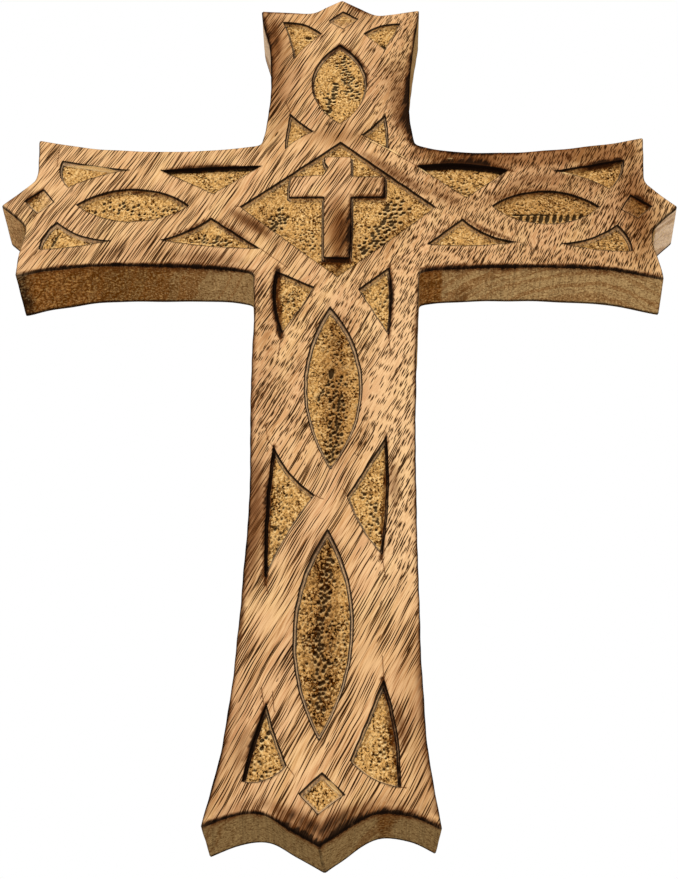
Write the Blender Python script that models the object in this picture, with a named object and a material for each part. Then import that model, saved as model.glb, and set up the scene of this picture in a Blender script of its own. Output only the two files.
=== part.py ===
"""A hand-carved wooden wall cross: one board with flared arms and pointed ends.

Interlaced straps are left standing between pockets that are sunk into the front. A small plain
cross stands in the diamond at the crossing. The back is flat, with a blind hole for a nail.

Frame, in metres: +X to the viewer's right, +Z up, and the front faces -Y. The back lies in the
plane y = 0, and the origin is on it, level with the points of the crossbar.
"""

import math
from dataclasses import dataclass

import bmesh
import bpy
from mathutils import Vector

# Board. Each reach runs from the crossing's middle to the corners of that arm's end.
THICKNESS = 0.017
CROSSBAR_REACH = 0.0970
TOP_REACH = 0.0919
FOOT_REACH = 0.2037

# How far each end's point stands out beyond its corners, and its hollows lie in from them
CROSSBAR_POINT_OUT = 0.0079
TOP_POINT_OUT = 0.0054
FOOT_POINT_OUT = 0.0046
CROSSBAR_HOLLOW_IN = 0.0008
TOP_HOLLOW_IN = 0.0013
FOOT_HOLLOW_IN = 0.0037

# From hollow to hollow, across the point
CROSSBAR_HOLLOWS_APART = 0.0210
TOP_HOLLOWS_APART = 0.0226
FOOT_HOLLOWS_APART = 0.0305

# Widths from edge to edge: at the end's corners, at the waist, and where the arm is rooted
LEFT_END_WIDTH = 0.0572
RIGHT_END_WIDTH = 0.0594
TOP_END_WIDTH = 0.0540
FOOT_END_WIDTH = 0.0574
CROSSBAR_WAIST_WIDTH = 0.0488
TOP_WAIST_WIDTH = 0.0456
SHAFT_WAIST_WIDTH = 0.0458
CROSSBAR_ROOT_WIDTH = 0.0534
UPRIGHT_ROOT_WIDTH = 0.0496
TOP_END_SHIFT = -0.0010  # how far the top's end was cut off the centre line

# From the crossing's middle to each waist
LEFT_WAIST_AT = 0.0570
RIGHT_WAIST_AT = 0.0520
TOP_WAIST_AT = 0.0480
SHAFT_WAIST_AT = 0.1130

# How late an arm flares beyond its waist: 2 is an even curve, more is later
EVEN_FLARE = 2.0
FOOT_FLARE = 2.6

# Edges and corners
ARRIS = 0.0008  # rounding of the front and back edges
CORNER_ROUND = 0.0004  # rounding of the eight corners and four points of the flat, inside the arris
POINT_ROUND = 0.0005
HOLLOW_ROUND = 0.0045  # the hollows beside the points
CROOK_ROUND = 0.0020  # the four inner corners where the arms meet

# Carving
POCKET_DEPTH = 0.0015
NOTCH_DEPTH = 0.0013  # the notches under the points, where they are deepest
FLOOR_SHARE = 0.94  # a floor's size beside its rim's: the walls lean by the rest
CUTTER_PROUD = 0.0020  # how far a cutter stands out of the face that it cuts

# The little cross in the diamond, as shares of the diamond's width and height
LITTLE_TALL = 0.75
LITTLE_WIDE = 0.49
LITTLE_UPRIGHT = 0.137
LITTLE_BAR = 0.157
LITTLE_BAR_AT = 0.148  # its crossbar's middle, above the diamond's widest place
LITTLE_SHIFT = -0.008  # how far it was left to the side
LITTLE_TAPER = 0.96  # its top's size beside its foot's
ROOTED = 0.0010  # how deep the little cross's block reaches into the floor

# Hanging
NAIL_HOLE_RADIUS = 0.0045
NAIL_HOLE_DEPTH = 0.0080

# Facets
SIDE_STEPS = 12
ROUND_STEPS = 4
BOW_STEPS = 8
EYE_STEPS = 14
ARRIS_STEPS = 2
NAIL_HOLE_SIDES = 32

WOOD_COLOUR = (0.52, 0.31, 0.15, 1.0)
WOOD_ROUGHNESS = 0.62


@dataclass
class Arm:
    """One arm of the cross, drawn along its own centre line, out from the crossing."""

    along: tuple  # direction outwards, in the face's x and z
    across: tuple  # direction to its upper side, or to its right side on the upright
    first_side: int  # the side that the outline meets first, going round anticlockwise
    reach: float
    point_out: float
    hollow_in: float
    hollows_apart: float
    end_width: float
    waist_width: float
    waist_at: float
    root_width: float
    rooted_at: float  # half the width of the arms that it grows from
    flare: float = EVEN_FLARE
    end_shift: float = 0.0

    def half_width(self, distance):
        """Half the width at a distance from the crossing: two curves that meet at the waist."""
        waist = self.waist_width / 2
        if distance < self.waist_at:
            share = (self.waist_at - distance) / (self.waist_at - self.rooted_at)
            return waist + (self.root_width / 2 - waist) * min(share, 1.0) ** 2
        share = (distance - self.waist_at) / (self.reach - self.waist_at)
        return waist + (self.end_width / 2 - waist) * share**self.flare

    def place(self, distance, offset):
        """A point of the face, a distance out along the arm and an offset across it."""
        drift = self.end_shift * (distance / self.reach) ** 2
        return Vector(self.along) * distance + Vector(self.across) * (offset + drift)

    def carved(self, along, across):
        """A point of the carving, from its shares of the reach and of the half width there."""
        distance = along * self.reach
        return self.place(distance, across * self.half_width(distance))


CROSSBAR = {
    "reach": CROSSBAR_REACH,
    "point_out": CROSSBAR_POINT_OUT,
    "hollow_in": CROSSBAR_HOLLOW_IN,
    "hollows_apart": CROSSBAR_HOLLOWS_APART,
    "waist_width": CROSSBAR_WAIST_WIDTH,
    "root_width": CROSSBAR_ROOT_WIDTH,
    "rooted_at": UPRIGHT_ROOT_WIDTH / 2,
}
UPRIGHT = {"root_width": UPRIGHT_ROOT_WIDTH, "rooted_at": CROSSBAR_ROOT_WIDTH / 2}
RIGHT = Arm((1, 0), (0, 1), -1, end_width=RIGHT_END_WIDTH, waist_at=RIGHT_WAIST_AT, **CROSSBAR)
LEFT = Arm((-1, 0), (0, 1), 1, end_width=LEFT_END_WIDTH, waist_at=LEFT_WAIST_AT, **CROSSBAR)
TOP = Arm(
    (0, 1),
    (1, 0),
    1,
    reach=TOP_REACH,
    point_out=TOP_POINT_OUT,
    hollow_in=TOP_HOLLOW_IN,
    hollows_apart=TOP_HOLLOWS_APART,
    end_width=TOP_END_WIDTH,
    end_shift=TOP_END_SHIFT,
    waist_width=TOP_WAIST_WIDTH,
    waist_at=TOP_WAIST_AT,
    **UPRIGHT,
)
FOOT = Arm(
    (0, -1),
    (1, 0),
    -1,
    reach=FOOT_REACH,
    point_out=FOOT_POINT_OUT,
    hollow_in=FOOT_HOLLOW_IN,
    hollows_apart=FOOT_HOLLOWS_APART,
    end_width=FOOT_END_WIDTH,
    waist_width=SHAFT_WAIST_WIDTH,
    waist_at=SHAFT_WAIST_AT,
    flare=FOOT_FLARE,
    **UPRIGHT,
)
ARMS = [RIGHT, TOP, LEFT, FOOT]


@dataclass
class Pocket:
    """A pocket between straps: its corners in order, and how far each side bows outwards.

    Corners are (share along, share across) of the arm. A bow belongs to the side that follows
    its corner, as a share of that side's length, and is negative where the side bows inwards.
    An eye has two corners, and its first bow lies to the right of the way from one to the other.
    """

    name: str
    arm: Arm
    corners: tuple
    bows: tuple
    depth: float = POCKET_DEPTH
    fades_to: int = -1  # the corner where the floor comes up to the face, if it does
    steps: int = BOW_STEPS


STRAIGHT = (0.0, 0.0, 0.0, 0.0)
POCKETS = [
    # Upper arm
    Pocket("top_eye", TOP, ((0.398, 0.01), (0.812, -0.01)), (0.228, 0.250), steps=EYE_STEPS),
    Pocket("top_outer_left", TOP, ((0.937, -0.75), (0.874, -0.25), (0.738, -0.66)), (0.12, -0.04, 0.0)),
    Pocket("top_outer_right", TOP, ((0.929, 0.79), (0.874, 0.32), (0.786, 0.62)), (0.11, -0.03, 0.0)),
    Pocket("top_inner_left", TOP, ((0.447, -0.70), (0.360, -0.36), (0.272, -0.70)), (-0.03, -0.06, 0.02)),
    Pocket("top_inner_right", TOP, ((0.443, 0.65), (0.342, 0.31), (0.272, 0.64)), (-0.03, -0.05, 0.02)),
    Pocket(
        "top_notch",
        TOP,
        ((0.946, -0.15), (0.998, 0.04), (0.955, 0.23), (0.898, 0.04)),
        STRAIGHT,
        depth=NOTCH_DEPTH,
        fades_to=3,
    ),
    # Left arm
    Pocket("left_eye", LEFT, ((0.480, 0.0), (0.843, 0.0)), (0.199, 0.201), steps=EYE_STEPS),
    Pocket("left_inner_upper", LEFT, ((0.583, 0.62), (0.256, 0.64), (0.401, 0.21)), (0.01, 0.0, 0.0)),
    Pocket("left_inner_lower", LEFT, ((0.557, -0.60), (0.248, -0.67), (0.398, -0.20)), (0.03, 0.0, -0.06)),
    Pocket("left_outer_upper", LEFT, ((0.914, 0.72), (0.689, 0.63), (0.880, 0.29)), (0.0, -0.07, 0.13)),
    Pocket("left_outer_lower", LEFT, ((0.898, -0.26), (0.940, -0.67), (0.720, -0.59)), (0.11, 0.04, -0.10)),
    Pocket(
        "left_notch",
        LEFT,
        ((1.012, 0.07), (0.957, 0.24), (0.915, 0.05), (0.965, -0.12)),
        STRAIGHT,
        depth=NOTCH_DEPTH,
        fades_to=2,
    ),
    # Right arm
    Pocket("right_eye", RIGHT, ((0.490, 0.0), (0.833, 0.0)), (0.225, 0.195), steps=EYE_STEPS),
    Pocket("right_inner_upper", RIGHT, ((0.257, 0.66), (0.554, 0.63), (0.410, 0.15)), (0.05, 0.0, 0.0)),
    Pocket("right_inner_lower", RIGHT, ((0.286, -0.62), (0.565, -0.62), (0.398, -0.22)), (0.04, -0.10, 0.0)),
    Pocket("right_outer_upper", RIGHT, ((0.704, 0.60), (0.928, 0.71), (0.871, 0.28)), (0.0, 0.10, -0.07)),
    Pocket("right_outer_lower", RIGHT, ((0.884, -0.29), (0.708, -0.62), (0.924, -0.67)), (-0.09, 0.04, 0.11)),
    Pocket(
        "right_notch",
        RIGHT,
        ((0.940, 0.17), (1.002, 0.0), (0.953, -0.18), (0.902, -0.04)),
        STRAIGHT,
        depth=NOTCH_DEPTH,
        fades_to=3,
    ),
    # Shaft
    Pocket("shaft_first_left", FOOT, ((0.131, -0.68), (0.165, -0.27), (0.250, -0.65)), (0.0, 0.0, 0.07)),
    Pocket("shaft_first_right", FOOT, ((0.126, 0.65), (0.169, 0.28), (0.253, 0.65)), (0.0, 0.0, 0.03)),
    Pocket("shaft_upper_eye", FOOT, ((0.203, -0.07), (0.489, -0.01)), (0.126, 0.157), steps=EYE_STEPS),
    Pocket("shaft_middle_left", FOOT, ((0.452, -0.70), (0.531, -0.19), (0.661, -0.72)), (-0.06, -0.03, 0.02)),
    Pocket("shaft_middle_right", FOOT, ((0.436, 0.66), (0.533, 0.20), (0.624, 0.62)), (0.0, 0.05, 0.03)),
    Pocket("shaft_lower_eye", FOOT, ((0.587, -0.02), (0.890, -0.05)), (0.128, 0.125), steps=EYE_STEPS),
    Pocket("foot_left", FOOT, ((0.844, -0.57), (0.9455, -0.71), (0.923, -0.33)), (0.02, 0.15, -0.02)),
    Pocket("foot_right", FOOT, ((0.808, 0.59), (0.951, 0.68), (0.917, 0.24)), (0.03, 0.09, 0.0)),
    Pocket("foot_square", FOOT, ((0.960, -0.20), (0.933, 0.0), (0.960, 0.20), (0.986, -0.03)), STRAIGHT),
]

# The diamond's corners, each on one arm's centre line, as a share of that arm's reach
DIAMOND_LEFT = 0.316
DIAMOND_TOP = 0.307
DIAMOND_RIGHT = 0.316
DIAMOND_BOTTOM = 0.143


def rounded(corner, before, after, radius):
    """The arc that rounds a corner between two straight runs."""
    to_before = (before - corner).normalized()
    to_after = (after - corner).normalized()
    half_angle = to_before.angle(to_after) / 2
    back = radius / math.tan(half_angle)
    room = 0.45 * min((before - corner).length, (after - corner).length)
    if back > room:
        back = room
        radius = back * math.tan(half_angle)
    centre = corner + (to_before + to_after).normalized() * (radius / math.sin(half_angle))
    start = corner + to_before * back - centre
    end = corner + to_after * back - centre
    sweep = start.angle_signed(end)
    points = []
    for i in range(ROUND_STEPS + 1):
        turn = -sweep * i / ROUND_STEPS
        cosine = math.cos(turn)
        sine = math.sin(turn)
        points.append(centre + Vector((cosine * start.x - sine * start.y, sine * start.x + cosine * start.y)))
    return points


def side_points(arm, side):
    """One long edge of an arm from the crossing outwards, without its two end points."""
    run = arm.reach - arm.rooted_at
    distances = [arm.rooted_at + run * i / SIDE_STEPS for i in range(1, SIDE_STEPS)]
    return [arm.place(d, side * arm.half_width(d)) for d in distances]


def board_outline():
    """The cross's outline, anticlockwise from the front, with its corners rounded."""
    marked = []  # (point, radius)
    for arm in ARMS:
        first = arm.first_side
        hollow_at = arm.reach - arm.hollow_in
        marked.append((arm.place(arm.rooted_at, first * arm.root_width / 2), CROOK_ROUND))
        marked += [(p, 0.0) for p in side_points(arm, first)]
        marked.append((arm.place(arm.reach, first * arm.end_width / 2), CORNER_ROUND + ARRIS))
        marked.append((arm.place(hollow_at, first * arm.hollows_apart / 2), HOLLOW_ROUND))
        marked.append((arm.place(arm.reach + arm.point_out, 0), POINT_ROUND + ARRIS))
        marked.append((arm.place(hollow_at, -first * arm.hollows_apart / 2), HOLLOW_ROUND))
        marked.append((arm.place(arm.reach, -first * arm.end_width / 2), CORNER_ROUND + ARRIS))
        marked += [(p, 0.0) for p in reversed(side_points(arm, -first))]
    outline = []
    for i, (point, radius) in enumerate(marked):
        before = marked[i - 1][0]
        after = marked[(i + 1) % len(marked)][0]
        outline += rounded(point, before, after, radius) if radius else [point]
    return outline


def bowed_side(start, end, bow, outwards, steps):
    """A circular arc from start to end, without its end, bowed by a share of its chord."""
    chord = end - start
    if abs(bow) < 1e-6:
        return [start]
    half = chord.length / 2
    sagitta = abs(bow) * chord.length
    radius = (half**2 + sagitta**2) / (2 * sagitta)
    points = []
    for i in range(steps):
        share = 2 * i / steps - 1
        rise = math.sqrt(radius**2 - (half * share) ** 2) - (radius - sagitta)
        on_chord = (start + end) / 2 + chord * (share / 2)
        points.append(on_chord + outwards * math.copysign(rise, bow))
    return points


def rim_of(corners, bows, steps):
    """A pocket's rim, from its corners and the bows of the sides between them."""
    middle = sum(corners, Vector((0, 0))) / len(corners)
    rim = []
    for i, start in enumerate(corners):
        end = corners[(i + 1) % len(corners)]
        outwards = Vector((end.y - start.y, start.x - end.x)).normalized()
        if outwards.dot((start + end) / 2 - middle) < -1e-9:
            outwards = -outwards
        rim += bowed_side(start, end, bows[i], outwards, steps)
    return rim


def turned_anticlockwise(rim):
    area = sum(a.x * b.y - b.x * a.y for a, b in zip(rim, rim[1:] + rim[:1]))
    return rim if area > 0 else rim[::-1]


def in_face(point, depth):
    """A point of the face, sunk to a depth below it."""
    return Vector((point.x, depth - THICKNESS, point.y))


def loft(bm, front, back):
    """A closed solid between two rings of as many points, with flat ends."""
    front = [bm.verts.new(p) for p in front]
    back = [bm.verts.new(p) for p in back]
    bm.faces.new(front)
    bm.faces.new(back[::-1])
    for i in range(len(front)):
        j = (i + 1) % len(front)
        bm.faces.new((front[j], front[i], back[i], back[j]))
    bmesh.ops.recalc_face_normals(bm, faces=bm.faces)


def mesh_object(name, bm, material=None):
    mesh = bpy.data.meshes.new(name)
    bm.to_mesh(mesh)
    bm.free()
    if material:
        mesh.materials.append(material)
    return bpy.data.objects.new(name, mesh)


def wood():
    material = bpy.data.materials.new("carved_wood")
    material.use_nodes = True
    shader = material.node_tree.nodes["Principled BSDF"]
    shader.inputs["Base Color"].default_value = WOOD_COLOUR
    shader.inputs["Roughness"].default_value = WOOD_ROUGHNESS
    shader.inputs["Metallic"].default_value = 0.0
    return material


def board(material):
    """The uncarved board: the outline given its thickness, with both edges rounded over."""
    outline = board_outline()
    bm = bmesh.new()
    loft(bm, [in_face(p, 0) for p in outline], [in_face(p, THICKNESS) for p in outline])
    edges = [e for e in bm.edges if abs(e.verts[0].co.y - e.verts[1].co.y) < THICKNESS / 2]
    bmesh.ops.bevel(bm, geom=edges, offset=ARRIS, segments=ARRIS_STEPS, profile=0.5, affect="EDGES")
    obj = mesh_object("carved_cross", bm, material)
    bpy.context.scene.collection.objects.link(obj)
    return obj


def floor_depth(point, corners, depth, fades_to):
    """How deep the floor lies at a point: level, or rising evenly to the corner it fades to."""
    if fades_to < 0:
        return depth
    high = corners[fades_to]
    low = corners[(fades_to + 2) % len(corners)]
    share = (point - low).dot(high - low) / (high - low).length_squared
    return depth * (1 - share)


def pocket_cutter(name, corners, bows, depth=POCKET_DEPTH, fades_to=-1, steps=1):
    """The block that sinks one pocket: its rim on the face, and a floor drawn in from it."""
    rim = turned_anticlockwise(rim_of(corners, bows, steps))
    middle = sum(rim, Vector((0, 0))) / len(rim)
    widened = 1 + (1 - FLOOR_SHARE) * CUTTER_PROUD / depth
    front = [in_face(middle + (p - middle) * widened, -CUTTER_PROUD) for p in rim]
    drawn_in = [middle + (p - middle) * FLOOR_SHARE for p in rim]
    floor = [in_face(p, floor_depth(p, corners, depth, fades_to)) for p in drawn_in]
    bm = bmesh.new()
    loft(bm, front, floor)
    return mesh_object("cut_" + name, bm)


def little_cross(diamond):
    """The small cross left standing in the diamond: its top is level with the face."""
    left, top, right, bottom = diamond
    width = right.x - left.x
    height = top.y - bottom.y
    middle = Vector(((left.x + right.x) / 2 + LITTLE_SHIFT * width, (left.y + right.y) / 2))
    post = LITTLE_UPRIGHT * width / 2
    wing = LITTLE_WIDE * width / 2
    tall = LITTLE_TALL * height / 2
    low = (LITTLE_BAR_AT - LITTLE_BAR / 2) * height
    high = (LITTLE_BAR_AT + LITTLE_BAR / 2) * height
    right_half = [(post, -tall), (post, low), (wing, low), (wing, high), (post, high), (post, tall)]
    left_half = [(-x, z) for x, z in reversed(right_half)]
    plan = [Vector(p) for p in right_half + left_half]
    rooted = POCKET_DEPTH + ROOTED
    spread = 1 + (1 / LITTLE_TAPER - 1) * rooted / POCKET_DEPTH
    bm = bmesh.new()
    loft(bm, [in_face(middle + p, 0) for p in plan], [in_face(middle + p * spread, rooted) for p in plan])
    return mesh_object("little_cross", bm)


def nail_hole_cutter():
    """The blind hole in the back, between the upper eye and the notch under the top point."""
    named = {pocket.name: pocket for pocket in POCKETS}
    eye_end = named["top_eye"].corners[1][0]
    notch_start = named["top_notch"].corners[3][0]
    bm = bmesh.new()
    bmesh.ops.create_cone(
        bm,
        cap_ends=True,
        segments=NAIL_HOLE_SIDES,
        radius1=NAIL_HOLE_RADIUS,
        radius2=NAIL_HOLE_RADIUS,
        depth=NAIL_HOLE_DEPTH + CUTTER_PROUD,
    )
    obj = mesh_object("cut_nail_hole", bm)
    obj.location = (0, (CUTTER_PROUD - NAIL_HOLE_DEPTH) / 2, (eye_end + notch_start) / 2 * TOP.reach)
    obj.rotation_euler = (math.pi / 2, 0, 0)
    return obj


def shape_with(obj, tools, operation, label):
    """Cuts a collection of hidden tools from a solid, or joins them to it."""
    group = bpy.data.collections.new(label)
    bpy.context.scene.collection.children.link(group)
    for tool in tools:
        tool.hide_render = True
        tool.display_type = "WIRE"
        group.objects.link(tool)
    modifier = obj.modifiers.new(label, "BOOLEAN")
    modifier.operation = operation
    modifier.operand_type = "COLLECTION"
    modifier.collection = group
    modifier.solver = "EXACT"


def main():
    for obj in list(bpy.data.objects):
        bpy.data.objects.remove(obj)
    diamond = [
        LEFT.carved(DIAMOND_LEFT, 0),
        TOP.carved(DIAMOND_TOP, 0),
        RIGHT.carved(DIAMOND_RIGHT, 0),
        FOOT.carved(DIAMOND_BOTTOM, 0),
    ]
    cutters = [nail_hole_cutter(), pocket_cutter("diamond", diamond, STRAIGHT)]
    for pocket in POCKETS:
        corners = [pocket.arm.carved(*corner) for corner in pocket.corners]
        cutters.append(
            pocket_cutter(pocket.name, corners, pocket.bows, pocket.depth, pocket.fades_to, pocket.steps)
        )
    cross = board(wood())
    shape_with(cross, cutters, "DIFFERENCE", "pockets")
    shape_with(cross, [little_cross(diamond)], "UNION", "left_standing")


main()
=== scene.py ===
"""Dresses the hand-carved wooden wall cross: one board, charred and waxed, seen from below.

Plans are drawn on the face in millimetres, x to the viewer's right and z up, and depths run into
the wood. The board is one closed skin: a carved front, saw-cut sides and a plain back.
"""

import logging
import math
from dataclasses import dataclass
from enum import Enum
from functools import partial, reduce
from typing import Any, Callable, Iterator

import bpy
import numpy as np
from mathutils import Matrix, Vector
from mathutils.geometry import delaunay_2d_cdt


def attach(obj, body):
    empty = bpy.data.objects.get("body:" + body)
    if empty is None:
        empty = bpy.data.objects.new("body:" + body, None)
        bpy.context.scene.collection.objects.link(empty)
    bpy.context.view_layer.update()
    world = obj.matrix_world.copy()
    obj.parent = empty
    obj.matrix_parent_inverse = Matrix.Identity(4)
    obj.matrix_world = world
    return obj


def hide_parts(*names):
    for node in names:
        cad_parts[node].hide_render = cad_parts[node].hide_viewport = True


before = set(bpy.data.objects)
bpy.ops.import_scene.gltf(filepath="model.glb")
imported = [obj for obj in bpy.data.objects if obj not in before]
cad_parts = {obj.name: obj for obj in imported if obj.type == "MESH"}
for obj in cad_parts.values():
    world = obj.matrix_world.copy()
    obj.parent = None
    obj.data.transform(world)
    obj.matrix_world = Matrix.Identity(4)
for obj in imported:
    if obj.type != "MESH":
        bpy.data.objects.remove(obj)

log = logging.getLogger("wall_cross")

MM = 0.001
PAIRS_AT_ONCE = 4_000_000
CDT_GAP = 1e-5
Pair = tuple[float, float]
Run = tuple[Pair, ...]
Place = tuple[float, float, float]
Colour = tuple[float, float, float, float]


def each(kind: type, *rows: tuple) -> tuple:
    """One of a kind for each row of its values."""
    return tuple(kind(*row) for row in rows)


def rounded_run(points: Run, step: float) -> np.ndarray:
    """A smooth run through a few points, without its last one.

    Each piece is the cubic whose slope at a point is half the way between its neighbours.

    Args:
        points: the points in order, in mm.
        step: about how far apart the samples lie, in mm.

    Returns:
        The samples, as rows of x and z.
    """
    p = np.array(points, float)
    before = np.vstack([2 * p[0] - p[1], p[:-1]])
    after = np.vstack([p[1:], 2 * p[-1] - p[-2]])
    slope = (after - before) / 2
    rows = []
    for i in range(len(p) - 1):
        count = max(2, int(np.linalg.norm(p[i + 1] - p[i]) / step))
        t = (np.arange(count) / count)[:, None]
        rows.append(
            (2 * t**3 - 3 * t**2 + 1) * p[i]
            + (t**3 - 2 * t**2 + t) * slope[i]
            + (3 * t**2 - 2 * t**3) * p[i + 1]
            + (t**3 - t**2) * slope[i + 1]
        )
    return np.vstack(rows)


def evenly(loop: np.ndarray, step: float) -> np.ndarray:
    """A closed loop sampled again at even distances along itself.

    Args:
        loop: its points, in mm.
        step: about how far apart the new samples lie, in mm.

    Returns:
        The new samples.
    """
    closed = np.vstack([loop, loop[:1]])
    run = np.concatenate([[0], np.cumsum(np.linalg.norm(np.diff(closed, axis=0), axis=1))])
    count = max(8, int(round(run[-1] / step)))
    at = run[-1] * np.arange(count) / count
    return np.stack([np.interp(at, run, closed[:, i]) for i in (0, 1)], axis=1)


def softened(loop: np.ndarray, sigma: float, step: float) -> np.ndarray:
    """A closed, evenly sampled loop with its corners rounded by a Gaussian average along it."""
    reach = int(4 * sigma / step) + 1
    weights = np.exp(-0.5 * (np.arange(-reach, reach + 1) * step / sigma) ** 2)
    weights /= weights.sum()
    rounded = np.zeros_like(loop)
    for shift, weight in zip(range(-reach, reach + 1), weights):
        rounded += weight * np.roll(loop, shift, axis=0)
    return rounded


def outward(loop: np.ndarray) -> np.ndarray:
    """Unit directions out of an anticlockwise loop, at each of its points."""
    way = np.roll(loop, -1, axis=0) - np.roll(loop, 1, axis=0)
    way /= np.maximum(np.linalg.norm(way, axis=1), 1e-9)[:, None]
    return np.stack([way[:, 1], -way[:, 0]], axis=1)


def anticlockwise(loop: np.ndarray) -> np.ndarray:
    """The loop, turned so that it runs anticlockwise."""
    x, z = loop[:, 0], loop[:, 1]
    area = np.sum(x * np.roll(z, -1) - np.roll(x, -1) * z)
    return loop if area > 0 else loop[::-1]


def blocks(count: int, width: int) -> Iterator[slice]:
    """Slices of a row of count points, each short enough to be set against width others at once."""
    block = max(1, PAIRS_AT_ONCE // width)
    for low in range(0, count, block):
        yield slice(low, low + block)


def to_segments(
    points: np.ndarray, start: np.ndarray, end: np.ndarray
) -> tuple[np.ndarray, np.ndarray]:
    """Each point's distance to the nearest of some segments, and which one that is.

    The distance to a segment is taken from the point's shadow on it, held between its ends.

    Args:
        points: rows of x and z.
        start: the segments' first ends.
        end: their second ends.

    Returns:
        The distances, and the nearest segments' numbers.
    """
    way = end - start
    length = np.maximum((way**2).sum(axis=1), 1e-12)
    distance = np.empty(len(points))
    nearest = np.empty(len(points), int)
    for part in blocks(len(points), len(start)):
        p = points[part, None]
        share = np.clip(((p - start) * way).sum(axis=2) / length, 0, 1)
        gap = ((start + share[..., None] * way - p) ** 2).sum(axis=2)
        best = gap.argmin(axis=1)
        nearest[part] = best
        distance[part] = np.sqrt(gap[np.arange(len(best)), best])
    return distance, nearest


def to_loop(points: np.ndarray, loop: np.ndarray) -> tuple[np.ndarray, np.ndarray]:
    """Each point's distance to a closed loop, and the number of the loop's nearest side."""
    return to_segments(points, loop, np.roll(loop, -1, axis=0))


def to_line(points: np.ndarray, line: Run) -> np.ndarray:
    """Each point's distance to an open line."""
    return to_segments(points, np.array(line[:-1], float), np.array(line[1:], float))[0]


def inside(points: np.ndarray, loop: np.ndarray) -> np.ndarray:
    """Whether each point lies in a loop: a level ray to the right crosses it an odd number of times."""
    start, end = loop, np.roll(loop, -1, axis=0)
    found = np.zeros(len(points), bool)
    rise = np.where(end[:, 1] == start[:, 1], 1e-12, end[:, 1] - start[:, 1])
    for part in blocks(len(points), len(start)):
        x, z = points[part, 0:1], points[part, 1:2]
        spans = (start[:, 1] > z) != (end[:, 1] > z)
        crossing = start[:, 0] + (z - start[:, 1]) / rise * (end[:, 0] - start[:, 0])
        found[part] = (spans & (x < crossing)).sum(axis=1) % 2 == 1
    return found


def depth_inside(points: np.ndarray, loop: np.ndarray, reach: float) -> np.ndarray:
    """How far each point lies inside a loop, in mm: negative outside it, held at -reach far away."""
    low, high = loop.min(axis=0) - reach, loop.max(axis=0) + reach
    near = np.flatnonzero(((points > low) & (points < high)).all(axis=1))
    result = np.full(len(points), -reach)
    if len(near):
        distance, _ = to_loop(points[near], loop)
        sign = np.where(inside(points[near], loop), 1, -1)
        result[near] = np.maximum(distance * sign, -reach)
    return result


def ripple(points: np.ndarray, size: float, seed: int) -> np.ndarray:
    """Smooth unevenness between about -1 and 1: the mean of slanted sine waves about size mm long."""
    rng = np.random.default_rng(seed)
    total = np.zeros(len(points))
    for _ in range(7):
        angle, phase = rng.uniform(0, 2 * np.pi, 2)
        length = size * rng.uniform(0.6, 1.7)
        along = points[:, 0] * np.cos(angle) + points[:, 1] * np.sin(angle)
        total += np.sin(2 * np.pi * along / length + phase)
    return total / 3.2


def smooth_step(value: np.ndarray, low: float, high: float) -> np.ndarray:
    """0 below low, 1 above high and an even S curve between them."""
    t = np.clip((value - low) / (high - low), 0, 1)
    return t * t * (3 - 2 * t)


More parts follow.
